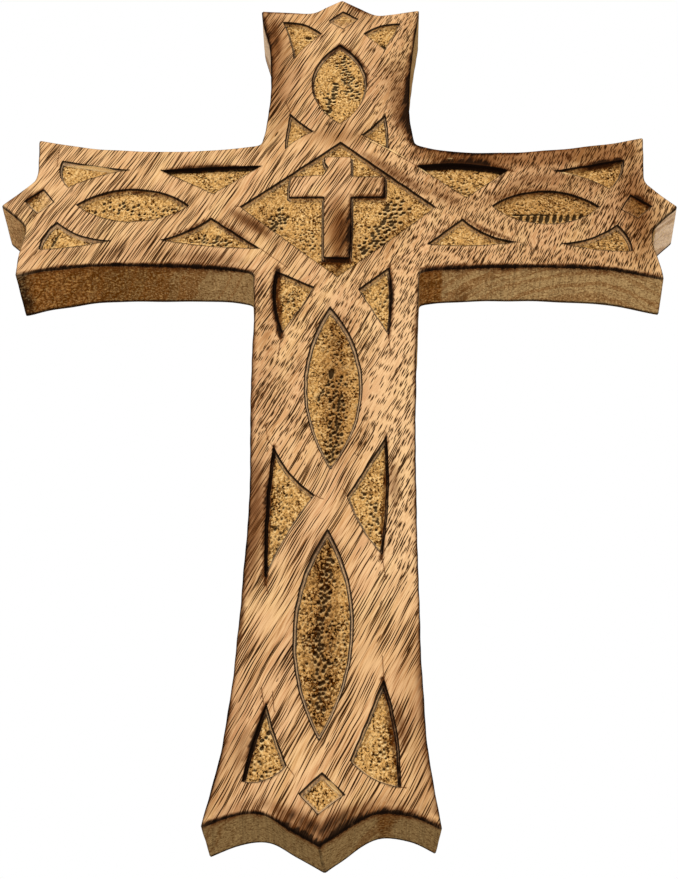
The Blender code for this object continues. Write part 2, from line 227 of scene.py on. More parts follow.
@dataclass(frozen=True)
class Outline:
    """The cross's edge on the face, as smooth runs between corners, anticlockwise."""

    step: float = 0.6
    corner: float = 0.38
    crook: float = 1.1
    wobble: float = 0.10
    runs: tuple[Run, ...] = (
        ((25.0, -26.8), (31.9, -25.7), (43.6, -25.0), (58.9, -24.7), (73, -24.9), (84, -26.0),
         (98.2, -29.6)),
        ((98.2, -29.6), (97.8, -24.6), (96.6, -17), (96.5, -12), (98.3, -7.6), (105.2, 0.0)),
        ((105.2, 0.0), (98.5, 7.5), (96.1, 11.4), (96.3, 19), (97.2, 30.4)),
        ((97.2, 30.4), (88, 28.1), (78.9, 26.5), (66, 24.7), (53, 23.7), (41, 23.8), (31.9, 24.9),
         (24.1, 27.2)),
        ((24.1, 27.2), (22.9, 36.1), (22.4, 46), (22.7, 57), (23.8, 72.2), (26.1, 92.5)),
        ((26.1, 92.5), (16, 90.4), (11, 90.2), (5.2, 94.1), (-0.4, 97.7)),
        ((-0.4, 97.7), (-5.6, 94.3), (-10.5, 91.3), (-17, 91.3), (-28.2, 92.3)),
        ((-28.2, 92.3), (-27.1, 85), (-25, 77), (-23.9, 68), (-23.2, 50), (-23.9, 36), (-25.2, 27.0)),
        ((-25.2, 27.0), (-34, 25.4), (-49.2, 24.1), (-60, 24.1), (-75, 24.9), (-86, 26.7), (-97.0, 29.0)),
        ((-97.0, 29.0), (-96.2, 20), (-95.8, 13), (-97.4, 9.2), (-105.4, 0.0)),
        ((-105.4, 0.0), (-98.4, -6.6), (-96.5, -10.5), (-97.2, -20), (-97.0, -29.0)),
        ((-97.0, -29.0), (-86, -26.3), (-72, -24.6), (-58, -24.6), (-44, -25.1), (-33, -26.1),
         (-24.9, -27.6)),
        ((-24.9, -27.6), (-24, -46), (-23.6, -72), (-22.4, -101), (-22.2, -122), (-23.2, -158),
         (-24.8, -181), (-26.6, -192), (-29.0, -204.3)),
        ((-29.0, -204.3), (-22, -201.4), (-14.4, -200.6), (-7.5, -204.6), (-0.5, -208.7)),
        ((-0.5, -208.7), (8.3, -202.6), (14.8, -199.9), (22, -201.0), (28.9, -204.2)),
        ((28.9, -204.2), (26.7, -190), (25.2, -177), (24.3, -155), (23.6, -117), (23.6, -72),
         (24.4, -47), (25.0, -26.8)),
    )
    crooks: Run = ((24.1, 27.2), (-25.2, 27.0), (-24.9, -27.6), (25.0, -26.8))

    def loop(self) -> np.ndarray:
        """The edge as a closed loop of even samples, with its corners softened, in mm."""
        fine = 0.15
        rough = evenly(np.vstack([rounded_run(run, fine) for run in self.runs]), fine)
        crisp = softened(rough, self.corner, fine)
        round_crooks = softened(rough, self.crook, fine)
        nearest = np.min([np.linalg.norm(rough - np.array(c), axis=1) for c in self.crooks], axis=0)
        share = smooth_step(nearest, 3.0, 7.0)[:, None]
        loop = crisp * share + round_crooks * (1 - share)
        loop = loop + outward(loop) * (self.wobble * ripple(loop, 11.0, 3))[:, None]
        return anticlockwise(evenly(loop, self.step))


@dataclass(frozen=True)
class Pocket:
    """A pocket sunk between straps: corners in mm and the bow of the side after each.

    A bow is a share of its side's length, outwards, and negative where the side bows inwards. An
    eye has two corners, and its first bow lies to the right of the way from one to the other.
    """

    name: str
    corners: Run
    bows: tuple[float, ...] = (0.0, 0.0, 0.0, 0.0)
    depth: float = 1.45
    fades_to: int = -1
    # How much char and painted shade darken the walls that face down.
    scorch_and_shade: float = 0.8
    lean: float = 0.6
    step: float = 0.5

    def rim(self, step: float) -> np.ndarray:
        """The rim, anticlockwise: circular arcs from corner to corner, a little uneven.

        Args:
            step: about how far apart its samples lie, in mm.

        Returns:
            The rim's samples.
        """
        corners = np.array(self.corners, float)
        middle = corners.mean(axis=0)
        rows = []
        for i, start in enumerate(corners):
            end = corners[(i + 1) % len(corners)]
            chord = end - start
            length = np.linalg.norm(chord)
            out = np.array([chord[1], -chord[0]]) / length
            if len(corners) > 2 and out @ ((start + end) / 2 - middle) < 0:
                out = -out
            share = np.arange(max(3, int(length / step))) / max(3, int(length / step))
            rise = np.zeros(len(share))
            if abs(self.bows[i]) > 1e-6:
                sagitta = abs(self.bows[i]) * length
                radius = (length**2 / 4 + sagitta**2) / (2 * sagitta)
                half = length * (share - 0.5)
                rise = np.sign(self.bows[i]) * (np.sqrt(radius**2 - half**2) - (radius - sagitta))
            uneven = 0.10 * np.sin(np.pi * share) * ripple(start + share[:, None] * chord, 7.0, 40 + i)
            rows.append(start + share[:, None] * chord + (rise + uneven)[:, None] * out)
        return anticlockwise(np.vstack(rows))

    def sunk_by(self, points: np.ndarray) -> np.ndarray:
        """The floor's depth at each point: level, or rising evenly to the corner it fades to."""
        if self.fades_to < 0:
            return np.full(len(points), self.depth)
        high = np.array(self.corners[self.fades_to], float)
        low = np.array(self.corners[(self.fades_to + 2) % len(self.corners)], float)
        share = (points - low) @ (high - low) / ((high - low) @ (high - low))
        return self.depth * np.clip(1 - share, 0, 1)


POCKETS = (
    Pocket(
        "top_notch", ((-4.8, 86.9), (0, 91.7), (5.2, 87.8), (0.3, 82.6)),
        depth=1.3, fades_to=3, scorch_and_shade=0.6,
    ),
    Pocket("top_outer_left", ((-20.4, 86.2), (-7.1, 80.3), (-16.2, 67.8)), (0.12, -0.03, -0.03)),
    Pocket("top_outer_right", ((19.6, 85.4), (7.2, 80.3), (14.3, 72.2)), (0.11, -0.02, 0.0)),
    Pocket("top_eye", ((0.0, 36.7), (-0.8, 74.6)), (0.232, 0.245), scorch_and_shade=0.5, step=0.38),
    Pocket("top_inner_left", ((-16.3, 41.1), (-8.7, 33.1), (-17.4, 25.0)), (-0.02, -0.05, 0.02)),
    Pocket("top_inner_right", ((14.6, 40.7), (7.1, 31.4), (15.6, 25.0)), (-0.02, -0.03, 0.02)),
    Pocket(
        "diamond", ((-30.5, -0.4), (0.3, 28.2), (30.3, -0.4), (0.4, -29.3)), (-0.004, 0.0, 0.006, 0.004),
        step=0.42,
    ),
    Pocket(
        "left_notch", ((-98.3, 1.9), (-92.8, 6.9), (-88.9, 1.4), (-93.6, -3.4)),
        depth=1.5, fades_to=2, scorch_and_shade=1.2,
    ),
    Pocket(
        "left_outer_upper", ((-88.4, 19.5), (-66.8, 15.4), (-85.2, 7.8)), (-0.01, -0.06, 0.13),
        scorch_and_shade=0.1,
    ),
    Pocket(
        "left_outer_lower", ((-86.9, -7.1), (-91.2, -18.5), (-69.9, -14.8)), (0.10, 0.03, -0.10),
        scorch_and_shade=0.3,
    ),
    Pocket("left_eye", ((-46.5, 0.0), (-81.8, 0.2)), (0.196, 0.194), step=0.36),
    Pocket(
        "left_inner_upper", ((-56.5, 15.3), (-24.7, 17.3), (-39.3, 5.2)), (0.01, 0.0, 0.0),
        scorch_and_shade=1.6,
    ),
    Pocket("left_inner_lower", ((-54.2, -14.5), (-39.2, -5.3), (-23.7, -17.9)), (-0.06, 0.0, 0.025)),
    Pocket(
        "right_inner_upper", ((24.8, 17.4), (53.4, 15.5), (40.0, 3.6)), (0.062, 0.0, 0.0),
        depth=1.7, scorch_and_shade=1.9,
    ),
    Pocket("right_inner_lower", ((27.6, -15.9), (38.6, -5.4), (54.8, -15.1)), (0.0, -0.10, 0.035)),
    Pocket("right_eye", ((47.8, 0.0), (81.0, -0.2)), (0.222, 0.197), scorch_and_shade=1.0, step=0.32),
    Pocket(
        "right_outer_upper", ((68.1, 15.2), (90.2, 20.3), (84.6, 7.5)), (0.0, 0.10, -0.07),
        scorch_and_shade=1.1,
    ),
    Pocket(
        "right_outer_lower", ((85.9, -7.8), (68.6, -15.7), (89.6, -18.6)), (-0.08, 0.04, 0.10),
        scorch_and_shade=0.6,
    ),
    Pocket(
        "right_notch", ((91.0, 4.8), (97.3, 0.0), (92.6, -5.0), (87.6, -1.5)),
        depth=1.6, fades_to=3, scorch_and_shade=1.2,
    ),
    Pocket("shaft_first_left", ((-18.2, -27.2), (-6.5, -33.4), (-15.4, -51.2)), (0.0, 0.01, 0.07)),
    Pocket("shaft_first_right", ((15.9, -25.6), (6.8, -34.3), (15.8, -51.8)), (0.0, 0.0, 0.03)),
    Pocket(
        "shaft_upper_eye", ((-1.6, -41.2), (-0.2, -99.8)), (0.126, 0.157),
        scorch_and_shade=0.5, lean=0.8, step=0.4,
    ),
    Pocket("shaft_middle_left", ((-16.2, -92.0), (-4.3, -108.4), (-16.6, -134.8)), (-0.07, -0.03, 0.02)),
    Pocket("shaft_middle_right", ((15.2, -88.7), (4.6, -108.7), (14.2, -127.3)), (0.0, 0.05, 0.03)),
    Pocket(
        "shaft_lower_eye", ((-0.4, -119.6), (-1.2, -181.4)), (0.128, 0.125),
        scorch_and_shade=0.5, lean=0.8, step=0.4,
    ),
    Pocket(
        "foot_left", ((-14.6, -171.6), (-19.6, -192.5), (-9.0, -188.1)), (0.02, 0.15, -0.02),
        step=0.4,
    ),
    Pocket("foot_right", ((14.8, -164.4), (18.9, -193.6), (6.6, -186.7)), (0.04, 0.09, 0.0)),
    Pocket(
        "foot_square", ((-5.7, -195.6), (-0.2, -190.0), (5.4, -195.6), (-1.0, -200.8)),
        depth=1.4, scorch_and_shade=0.6, lean=0.75, step=0.4,
    ),
)

LITTLE_CROSS: Run = (
    (-4.8, 21.4), (-4.4, 18.6), (-3.5, 17.0), (-4.1, 15.1), (-4.9, 13.4), (-15.0, 12.6),
    (-15.4, 8.0), (-15.3, 3.7), (-4.4, 3.9), (-4.2, -8.0), (-3.9, -21.5), (3.9, -21.6),
    (4.1, -8.0), (4.0, 3.8), (14.4, 3.9), (14.6, 12.7), (3.9, 12.8), (3.7, 21.4),
)

KNIFE_LINES: tuple[Run, ...] = (
    ((-18.0, 46.7), (-16.2, 41.4)),
    ((6.4, 30.7), (15.6, 24.6), (24.8, 17.4)),
    ((-23.8, -17.6), (-17.2, -23.4), (-14.6, -25.9)),
    ((26.9, -15.9), (20.9, -20.4), (16.2, -24.9)),
    ((-89.9, 24.0), (-89.9, 17.2)),
    ((-93.6, -3.4), (-96.4, -7.2)),
    ((85.1, 0.6), (85.3, -6.9)),
    ((-15.5, -51.2), (-16.2, -59.6)),
    ((15.8, -51.8), (16.3, -57.3)),
    ((-18.6, -85.4), (-17.9, -89.6), (-16.2, -92.6)),
    ((-4.3, -108.4), (-2.1, -109.8)),
    ((3.5, -106.5), (4.7, -108.7)),
    ((14.1, -127.3), (15.2, -134.6)),
    ((-16.6, -134.8), (-15.6, -139.5)),
    ((-16.0, -167.4), (-15.2, -172.2)),
    ((-13.2, -168.3), (-12.6, -173.6)),
    ((-9.1, -188.0), (-6.9, -190.8)),
    ((14.4, -157.8), (14.8, -164.4)),
    ((18.9, -193.6), (20.3, -193.6)),
    ((-31.8, -0.3), (-30.3, -0.3)),
    ((30.3, -0.4), (31.9, -1.6)),
    ((89.7, -16.8), (90.7, -21.8)),
    ((53.3, 15.5), (55.0, 15.1)),
    ((54.6, -15.0), (56.4, -15.3)),
)


@dataclass(frozen=True)
class Punched:
    """A patch of a floor that was worked over with a punch or a small gouge, strewn along a path."""

    path: Run
    spread: float
    count: int
    radius: float
    depth: float
    long: float = 1.0
    turned: float = 0.0
    seed: int = 1
    stray: float = 1.0
    tries: int = 6

    def marks(self) -> np.ndarray:
        """The marks, as rows of x, z, radius and depth.

        Each is the one of some tries, strewn about its stretch of the path, that lies farthest from
        the marks before it, so that they keep apart.
        """
        rng = np.random.default_rng(self.seed)
        points = np.array(self.path, float)
        run = np.concatenate([[0], np.cumsum(np.linalg.norm(np.diff(points, axis=0), axis=1))])
        placed = np.empty((0, 2))
        for i in range(self.count):
            at = (i + 0.5 + self.stray * rng.uniform(-0.5, 0.5, self.tries)) / self.count * run[-1]
            tries = np.stack([np.interp(at, run, points[:, axis]) for axis in (0, 1)], axis=1)
            tries += rng.normal(0, self.spread / 2, tries.shape)
            gaps = np.linalg.norm(tries[:, None] - placed, axis=2)
            best = gaps.min(axis=1).argmax() if i else 0
            placed = np.vstack([placed, tries[best]])
        size = self.radius * rng.uniform(0.8, 1.2, self.count)
        sunk = self.depth * rng.uniform(0.7, 1.2, self.count)
        return np.column_stack([placed, size, sunk])

    def laid_on(self, points: np.ndarray) -> tuple[np.ndarray, np.ndarray]:
        """How deep each point lies in the bell-shaped dents, and how much painted highlight lies on it, a
        little below each dent.
        """
        turn = math.radians(self.turned)
        long_way = np.array([math.cos(turn), math.sin(turn)])
        short_way = np.array([-math.sin(turn), math.cos(turn)])
        deepest, lit_lips = np.zeros(len(points)), np.zeros(len(points))
        for x, z, size, sunk in self.marks():
            gap = points - (x, z)
            near = np.flatnonzero((np.abs(gap) < 3.4 * size * self.long).all(axis=1))
            # The second bell, moved down, is a painted highlight where light from above would catch each
            # dent's lower edge.
            for drop, result in ((0.0, deepest), (1.3 * size, lit_lips)):
                along = (gap[near] + (0, drop)) @ long_way / (size * self.long)
                aside = (gap[near] + (0, drop)) @ short_way / size
                result[near] = np.maximum(result[near], sunk * np.exp(-(along**2) - aside**2))
        return deepest, lit_lips


PUNCHED = each(
    Punched,
    (((19.5, 4), (14, -8), (9, -18)), 3.0, 64, 0.52, 0.75, 1.3, 35, 1),
    (((-18, -1), (-18.5, -7)), 2.4, 24, 0.48, 0.7, 1.3, 60, 2),
    (((-13, -8), (-7, -17)), 4.0, 34, 0.42, 0.5, 1.2, 40, 3),
    (((0, 71), (0.5, 66), (2.5, 58), (4, 51)), 2.0, 46, 0.44, 0.75, 1.3, 30, 4),
    (((-1, 58), (-3, 52), (-4.2, 44), (-5, 41)), 1.3, 30, 0.50, 0.8, 1.2, 0, 5),
    (((-75, 0.6), (-69, 0.6), (-63, -0.6)), 2.4, 16, 0.37, 0.85, 1.7, 68, 6),
    (((-62, -1.5), (-57, -2), (-50, 0)), 2.8, 22, 0.32, 0.6, 1.7, 68, 7),
    (((55.7, -4.1), (76.0, -3.7)), 0.10, 10, 0.47, 1.3, 3.2, 78, 8, 0.2),
    (((54.3, -2.3), (65.5, -2.3)), 0.06, 7, 0.34, 0.8, 3.2, 0, 9, 0.2),
    (((54, 1.4), (78, -0.6)), 1.8, 26, 0.40, 0.35, 1.2, 20, 10),
    (((-0.6, -64.4), (-0.7, -65.8)), 0.05, 3, 0.62, 1.2, 1.5, 88, 11),
    (((-1.2, -67.5), (-4.4, -74.5)), 0.5, 9, 0.38, 0.6, 1.8, 65, 12),
    (((0.6, -66), (1.0, -80), (0.2, -97)), 1.9, 74, 0.45, 0.65, 1.3, 80, 13),
    (((-3, -52), (1.5, -56), (3, -62)), 3.4, 26, 0.42, 0.4, 1.3, 60, 14),
    (((0, -127), (-0.6, -140), (-1.6, -152), (-1.4, -172)), 1.5, 84, 0.45, 0.7, 1.3, 85, 15),
    (((3, -142), (3.4, -160)), 2.4, 40, 0.42, 0.4, 1.2, 60, 16),
    (((-4.4, -138), (-5, -158)), 2.2, 40, 0.42, 0.4, 1.2, 60, 17),
    (((36, 12.5), (41, 7)), 3.4, 26, 0.45, 0.5, 1.3, 50, 18),
    (((-46, 12), (-38, 10), (-32, 13)), 3.4, 24, 0.42, 0.4, 1.3, 40, 19),
    (((-44, -13.2), (-34, -14)), 1.6, 24, 0.42, 0.55, 1.6, 50, 20),
    (((-12.2, 80.2), (-11.2, 79.6)), 0.3, 4, 0.6, 0.8, 1.0, 0, 21),
    (((13.2, 75.6), (14.2, 74)), 0.5, 6, 0.5, 0.8, 1.4, 60, 22),
    (((-15.9, -184.2), (-14.6, -178.6)), 0.7, 4, 0.46, 0.8, 1.2, 60, 23),
    (((-16, -186), (-13, -190)), 1.8, 16, 0.40, 0.5, 1.0, 0, 24),
    (((15.5, -176), (14, -188)), 2.0, 22, 0.42, 0.5, 1.0, 0, 25),
    (((8.5, -106), (12, -112), (12, -120)), 1.8, 26, 0.48, 0.6, 1.0, 0, 26),
    (((-14, -100), (-13, -112), (-14, -126)), 2.4, 44, 0.42, 0.45, 1.6, 70, 27),
    (((-12, -29), (-14, -40)), 2.4, 22, 0.42, 0.4, 1.8, 55, 28),
    (((12, -31), (14, -42)), 2.2, 20, 0.42, 0.4, 1.8, 55, 29),
    (((80, -13), (86, -15)), 2.0, 18, 0.42, 0.4, 1.2, 50, 30),
    (((-86, -10.5), (-87.5, -15.5)), 0.3, 5, 0.40, 0.6, 2.4, 72, 31),
)


@dataclass(frozen=True)
class Stroke:
    """A soft stroke along a path on the face: scorching, browning, a pale mark, painted shadow or a painted
    highlight.
    """

    path: Run
    width: float
    strength: float

    def laid_on(self, points: np.ndarray) -> np.ndarray:
        """How much of it lies at each point: a bell curve over the distance, slimmer at its ends."""
        path = np.array(self.path, float)
        result = np.zeros(len(points))
        low, high = path.min(axis=0) - 3 * self.width, path.max(axis=0) + 3 * self.width
        near = np.flatnonzero(((points > low) & (points < high)).all(axis=1))
        if len(near):
            distance, nearest = to_segments(points[near], path[:-1], path[1:])
            way = np.diff(path, axis=0)
            length = np.linalg.norm(way, axis=1)
            run = np.concatenate([[0], np.cumsum(length)])
            local = ((points[near] - path[nearest]) * way[nearest]).sum(axis=1) / length[nearest]
            share = (run[nearest] + np.clip(local, 0, length[nearest])) / run[-1]
            taper = 0.45 + 0.55 * np.sqrt(np.sin(np.pi * np.clip(share, 0.02, 0.98)))
            result[near] = self.strength * taper * np.exp(-((distance / (self.width * taper)) ** 2))
        return result


TORCHED_AND_SHADED = each(
    Stroke,
    (((-27.5, 91), (-25.0, 76), (-22.5, 56), (-23, 42)), 4.2, 0.34),
    (((-27.6, 91), (-25.6, 80), (-23.8, 68), (-23.2, 50)), 0.9, 0.8),
    (((-23.6, 87), (-21.5, 70)), 1.8, 0.55),
    (((-28, 91.6), (-14, 90.8), (-8, 92)), 0.9, 0.8),
    (((1, 96), (5, 93.4), (9.5, 90.4)), 1.7, 1.0),
    (((10, 90.0), (25, 91.6)), 0.6, 0.6),
    (((25.5, 90), (23.0, 66)), 0.7, 0.8),
    (((22.9, 70), (22.4, 46)), 1.3, 1.0),
    (((22.6, 58), (22.6, 36), (24.8, 25.0)), 1.5, 1.2),
    (((21.4, 54), (20.8, 38), (23.0, 27.5)), 2.6, 0.5),
    (((18.4, 68), (17.4, 50), (19.5, 34)), 4.6, 0.42),
    (((22, 29.4), (27, 25.0), (38, 23.4), (58, 23.1)), 1.1, 1.1),
    (((54, 23.2), (66, 24.2), (80, 26.0)), 0.7, 0.6),
    (((28, 22.0), (44, 20.4), (60, 20.2)), 2.8, 0.42),
    (((64, 20.5), (80, 22.6), (92, 23.5)), 4.5, 0.36),
    (((93.5, 20), (92.5, 10), (94, -6), (94.5, -20)), 4.5, 0.36),
    (((46, 1), (58, 11.5), (72, 12.5), (82, 9)), 2.4, 0.42),
    (((-55, 15.8), (-44, 16.6), (-32, 17.3)), 0.9, 1.1),
    (((-50, 17.6), (-36, 18.6)), 2.0, 0.35),
    (((24, 17.4), (36, 18.4), (46, 17.9), (55, 15.2)), 1.3, 0.95),
    (((27, 19.2), (38, 19.9), (50, 18.8)), 2.2, 0.4),
    (((76, 17.4), (84, 19.3), (90, 20.8)), 1.0, 1.15),
    (((78, 16.4), (84, 18.0), (88.6, 18.6)), 1.2, 0.9),
    (((-97, -28.4), (-84, -25.6), (-66, -24.2)), 0.7, 0.95),
    (((-68, -24.3), (-50, -24.7), (-34, -25.9), (-24, -27.4)), 0.9, 1.1),
    (((-52, -21), (-38, -22), (-27, -23.5)), 3.4, 0.4),
    (((24, -26.4), (32, -25.3), (54, -24.6)), 1.0, 1.15),
    (((50, -24.5), (72, -24.6), (84, -25.8), (97, -28.8)), 0.8, 1.1),
    (((-24.2, -30), (-23.4, -60), (-22.4, -100), (-22.2, -150), (-24.6, -182), (-28.4, -202)), 0.8, 0.75),
    (((-20.3, -98), (-20, -116), (-20.4, -134)), 2.6, 0.62),
    (((24.4, -30), (23.6, -60), (23.3, -110), (24, -155)), 0.8, 0.7),
    (((24.0, -150), (25.4, -178), (28.0, -200)), 1.9, 0.75),
    (((-24.0, -172), (-26.6, -190), (-28.6, -202)), 1.8, 0.6),
    (((-30, -204), (-21, -201.4), (-14.4, -200.6)), 0.7, 1.0),
    (((-16.4, -200.4), (-7.5, -204.4), (1, -209)), 1.0, 1.15),
    (((-1, -209), (8.3, -202.2), (14.8, -199.7), (22, -200.8), (30, -204)), 1.0, 1.15),
    (((-29, -201), (-14, -198), (-6, -201.4), (0, -205), (7, -200), (15, -197), (29, -200)), 2.0, 0.4),
    (((-10, -200.6), (0, -205), (10, -199.6)), 3.6, 0.42),
    # Charred line and painted shadow on the first left shaft triangle's left wall.
    (((-17.7, -25.8), (-17.8, -36), (-16.8, -45), (-15.6, -53)), 1.3, 2.4),
    (((16.1, -24.6), (16.6, -36), (16.4, -44), (15.9, -53)), 0.7, 1.4),
    # Charred line and painted shadow on the middle left shaft triangle's left wall.
    (((-15.9, -92), (-16.8, -110), (-16.7, -124), (-16.4, -137)), 0.8, 1.7),
    (((15.1, -87), (15.2, -102), (14.6, -116), (14.1, -129)), 0.7, 1.6),
    (((17.4, -97), (17.6, -112)), 1.8, 0.55),
    (((-14.6, -171), (-16.8, -180), (-19.5, -193)), 0.62, 1.5),
    (((-18.6, -178), (-21.4, -190)), 1.8, 0.5),
    (((14.6, -164), (16.7, -178), (18.8, -193)), 0.75, 1.6),
    (((18.0, -171), (20.2, -184)), 1.8, 0.55),
    (((8, 22.6), (18, 13.6), (27, 5.6)), 2.6, 0.62),
    (((28, 8), (38, 0)), 3.2, 0.4),
    (((-33, -2.4), (-26, -8), (-21, -12.6)), 2.4, 0.66),
    (((-37.5, -5.8), (-26, -15.8)), 1.3, 0.6),
    (((-80, 3.2), (-66, 7.4), (-50, 3.4)), 0.9, 0.45),
    (((49, 2.6), (58, 6.4), (68, 7.2), (78, 3.4)), 1.0, 0.6),
    (((-53, -13.6), (-45, -9.6), (-39.2, -4.8)), 0.6, 0.9),
    (((38.6, -4.8), (45, -10), (54, -14.4)), 0.9, 0.9),
    (((28, -14.6), (38, -5.2)), 0.6, 0.8),
    (((-98, 2.3), (-92.8, 7.2)), 0.8, 0.8),
    (((91, 5.2), (97.6, 0.4)), 0.8, 0.9),
    (((-104, 0.4), (-98, 7)), 1.6, 0.6),
    (((6, 11.6), (14, 11.4)), 1.8, 0.42),
    (((14.3, 12), (14.3, 4.2)), 1.0, 0.9),
    (((1.4, -3), (1.4, -22)), 3.2, 0.75),
    (((3.8, 5), (3.8, -22.4)), 0.7, 1.0),
    # Painted shadow along the bottom of the little cross's post.
    (((-5.2, -22.4), (5.2, -22.4)), 0.9, 1.7),
    (((-15, 4.2), (-4.6, 4.2)), 0.6, 0.7),
    (((4.4, 4.2), (14.4, 4.3)), 0.9, 0.9),
    # Painted shadow cast on the diamond's floor below the little cross's post.
    (((0, -23), (0.4, -27.5)), 2.6, 0.9),
    (((-8.9, 60), (-9.6, 54), (-6, 45)), 0.6, 0.8),
    (((-6, 68), (-1, 74.8), (4, 70.6), (8.3, 62), (8.7, 54)), 0.8, 0.9),
    (((0, 69), (2, 57)), 1.6, 0.25),
    (((-1, -42), (0, -58)), 4.0, 0.42),
    (((1.0, -62), (1.2, -99)), 2.4, 0.36),
    (((-0.6, -120), (-1, -136)), 3.6, 0.42),
    (((-1, -130), (-1.4, -179)), 3.0, 0.38),
    (((-0.5, -124), (-1.0, -178)), 6.5, 0.22),
    (((22, -3), (12, -17)), 3.0, 0.22),
)


# Pale marks: scratches and a chipped spot on the right arm, and painted highlights along edges that catch the
# light, such as the strap edge above the diamond's upper right side.
PALE = each(
    Stroke,
    (((0.5, -191.3), (4.8, -195.5)), 0.34, 1.3),
    (((7.6, 30.1), (15.6, 25.0), (25.0, 18.0)), 0.26, 0.9),
    (((-86.5, 18.5), (-78, 17.0), (-68, 15.0)), 0.3, 1.3),
    (((33, 20.9), (37, 20.6)), 0.28, 0.62),
    (((38.5, 20.7), (43, 20.2)), 0.25, 0.6),
    (((70, 14.3), (76, 14.6)), 1.2, 0.8),
    (((25.6, 16.4), (28.6, 13.4)), 0.4, 0.8),
    (((16.6, 42.0), (15.9, 26.0)), 0.3, 0.7),
)

BROWNED = each(
    Stroke,
    (((46, 0), (100, 0)), 24.0, 0.35),
    (((24, 22.5), (60, 22.0), (92, 25)), 5.0, 1.65),
    (((92.5, 25), (91.5, 8), (93, -8), (93, -27)), 6.0, 0.8),
    (((46, 2), (64, 10.5), (82, 8)), 4.0, 0.4),
    (((-25, 92), (-22.5, 70), (-20.5, 34)), 7.5, 0.9),
    (((23, 88), (21, 60), (19.5, 30)), 4.5, 0.5),
    (((-10, 88), (10, 88)), 4.0, 0.3),
    (((12, 72), (12, 52)), 4.0, 0.3),
    (((28, 13), (40, -1)), 5.0, 0.4),
    (((6, 24), (27, 7)), 3.0, 0.4),
    (((-34, -1), (-20, -14)), 3.4, 0.5),
    (((-92, -21), (-60, -21), (-28, -22)), 3.2, 0.3),
    (((28, -21), (92, -22)), 3.6, 0.25),
    (((-20, -92), (-19.8, -120), (-20.5, -140)), 3.0, 0.75),
    (((-22, -28), (-20, -60), (-19.6, -92)), 3.0, 0.3),
    (((-9, 31), (9, 31)), 5.0, 0.8),
    (((0.8, -48), (1.0, -96)), 7.0, 0.25),
    (((20.5, -150), (22.5, -175), (25, -200)), 3.6, 0.45),
    (((-21, -165), (-24, -198)), 3.0, 0.4),
    (((-26, -199), (-12, -198), (0, -204), (12, -197), (26, -198)), 4.0, 0.22),
    (((0, 3), (0, -23)), 4.4, 1.2),
    (((5, 9), (14, 8)), 4.0, 0.3),
    (((-20, 6), (-24, -4), (-8, -20)), 5.0, 0.3),
    (((22, 5), (18, -10), (6, -22)), 5.0, 0.45),
    (((0.8, -48), (1.0, -96)), 4.6, 0.6),
    (((-0.8, -126), (-1.2, -176)), 5.6, 0.7),
    (((52, 0), (78, 0)), 3.4, 0.2),
)


class Surface(Enum):
    """The attributes that tell the wood's finish what each place on the skin is."""

    SUNK = "sunk"
    WALL = "wall"
    # Char and painted shade on walls that face down, and painted shade in the nail hole.
    UPPER = "upper"
    RIM = "rim"
    EDGE = "edge"
    # Scorch strokes, among them painted shadow under the little cross and on some shaft walls.
    TORCH_AND_SHADE = "torch_and_shade"
    PITS = "pits"
    # Painted highlight just below each dent.
    LIT_LIPS = "lit_lips"
    TONE = "tone"
    # Pale marks, partly painted highlights along edges.
    PALE = "pale"
    KNIFE = "knife"
    SAWN = "sawn"
    # Reddish side patches, and below 0 painted highlights on a few side faces.
    STAIN_AND_HIGHLIGHT = "stain_and_highlight"


Masks = dict[Surface, np.ndarray]


def raise_mask(masks: Masks, name: Surface, values: np.ndarray, at: Any = slice(None)) -> None:
    """Raises a mask to the values given, at some or all points, where it lies below them."""
    masks[name][at] = np.maximum(masks[name][at], values)


def ring_lines(first: int, count: int) -> list[tuple[int, int]]:
    """The lines round a closed loop, as pairs of its points' numbers."""
    return [(first + i, first + (i + 1) % count) for i in range(count)]


def stretched(points: np.ndarray, lines: list[tuple[int, int]]) -> tuple[np.ndarray, np.ndarray, np.ndarray]:
    """Triangles stretched over points on a plane, between some lines that they keep.

    Args:
        points: rows of x and z.
        lines: the kept lines, as pairs of the points' numbers.

    Returns:
        The points, the triangles, and for each given point its number among the points.
    """
    found = delaunay_2d_cdt([Vector(pair) for pair in points.tolist()], lines, [], 1, CDT_GAP)
    numbers = np.zeros(len(points), int)
    for i, sources in enumerate(found[3]):
        numbers[sources] = i
    return np.array([(v.x, v.y) for v in found[0]]), np.array(found[2]), numbers


def in_space(plan: np.ndarray, y: Any) -> np.ndarray:
    """Points of a plan put at some y: rows of x, y and z."""
    return np.column_stack([plan[:, 0], np.broadcast_to(y, len(plan)), plan[:, 1]])


class Skin:
    """Points, masks and triangles gathered for one mesh."""

    def __init__(self) -> None:
        """Starts with none."""
        self.points: list[np.ndarray] = []
        self.faces: list[np.ndarray] = []
        self.masks: dict[Surface, list[np.ndarray]] = {name: [] for name in Surface}
        self.placed = 0

    def add(self, points: np.ndarray, masks: dict[Surface, Any]) -> np.ndarray:
        """Adds points with their masks, 0 where none is given, and returns the points' numbers."""
        self.points.append(points)
        for name in Surface:
            value = np.asarray(masks.get(name, 0.0), float)
            self.masks[name].append(np.broadcast_to(value, (len(points),)))
        self.placed += len(points)
        return np.arange(self.placed - len(points), self.placed)

    def strip(self, first: np.ndarray, second: np.ndarray) -> None:
        """Joins two rings of as many points by a band of triangles."""
        after, beyond = np.roll(first, -1), np.roll(second, -1)
        self.faces.append(np.stack([first, second, beyond], axis=1))
        self.faces.append(np.stack([first, beyond, after], axis=1))


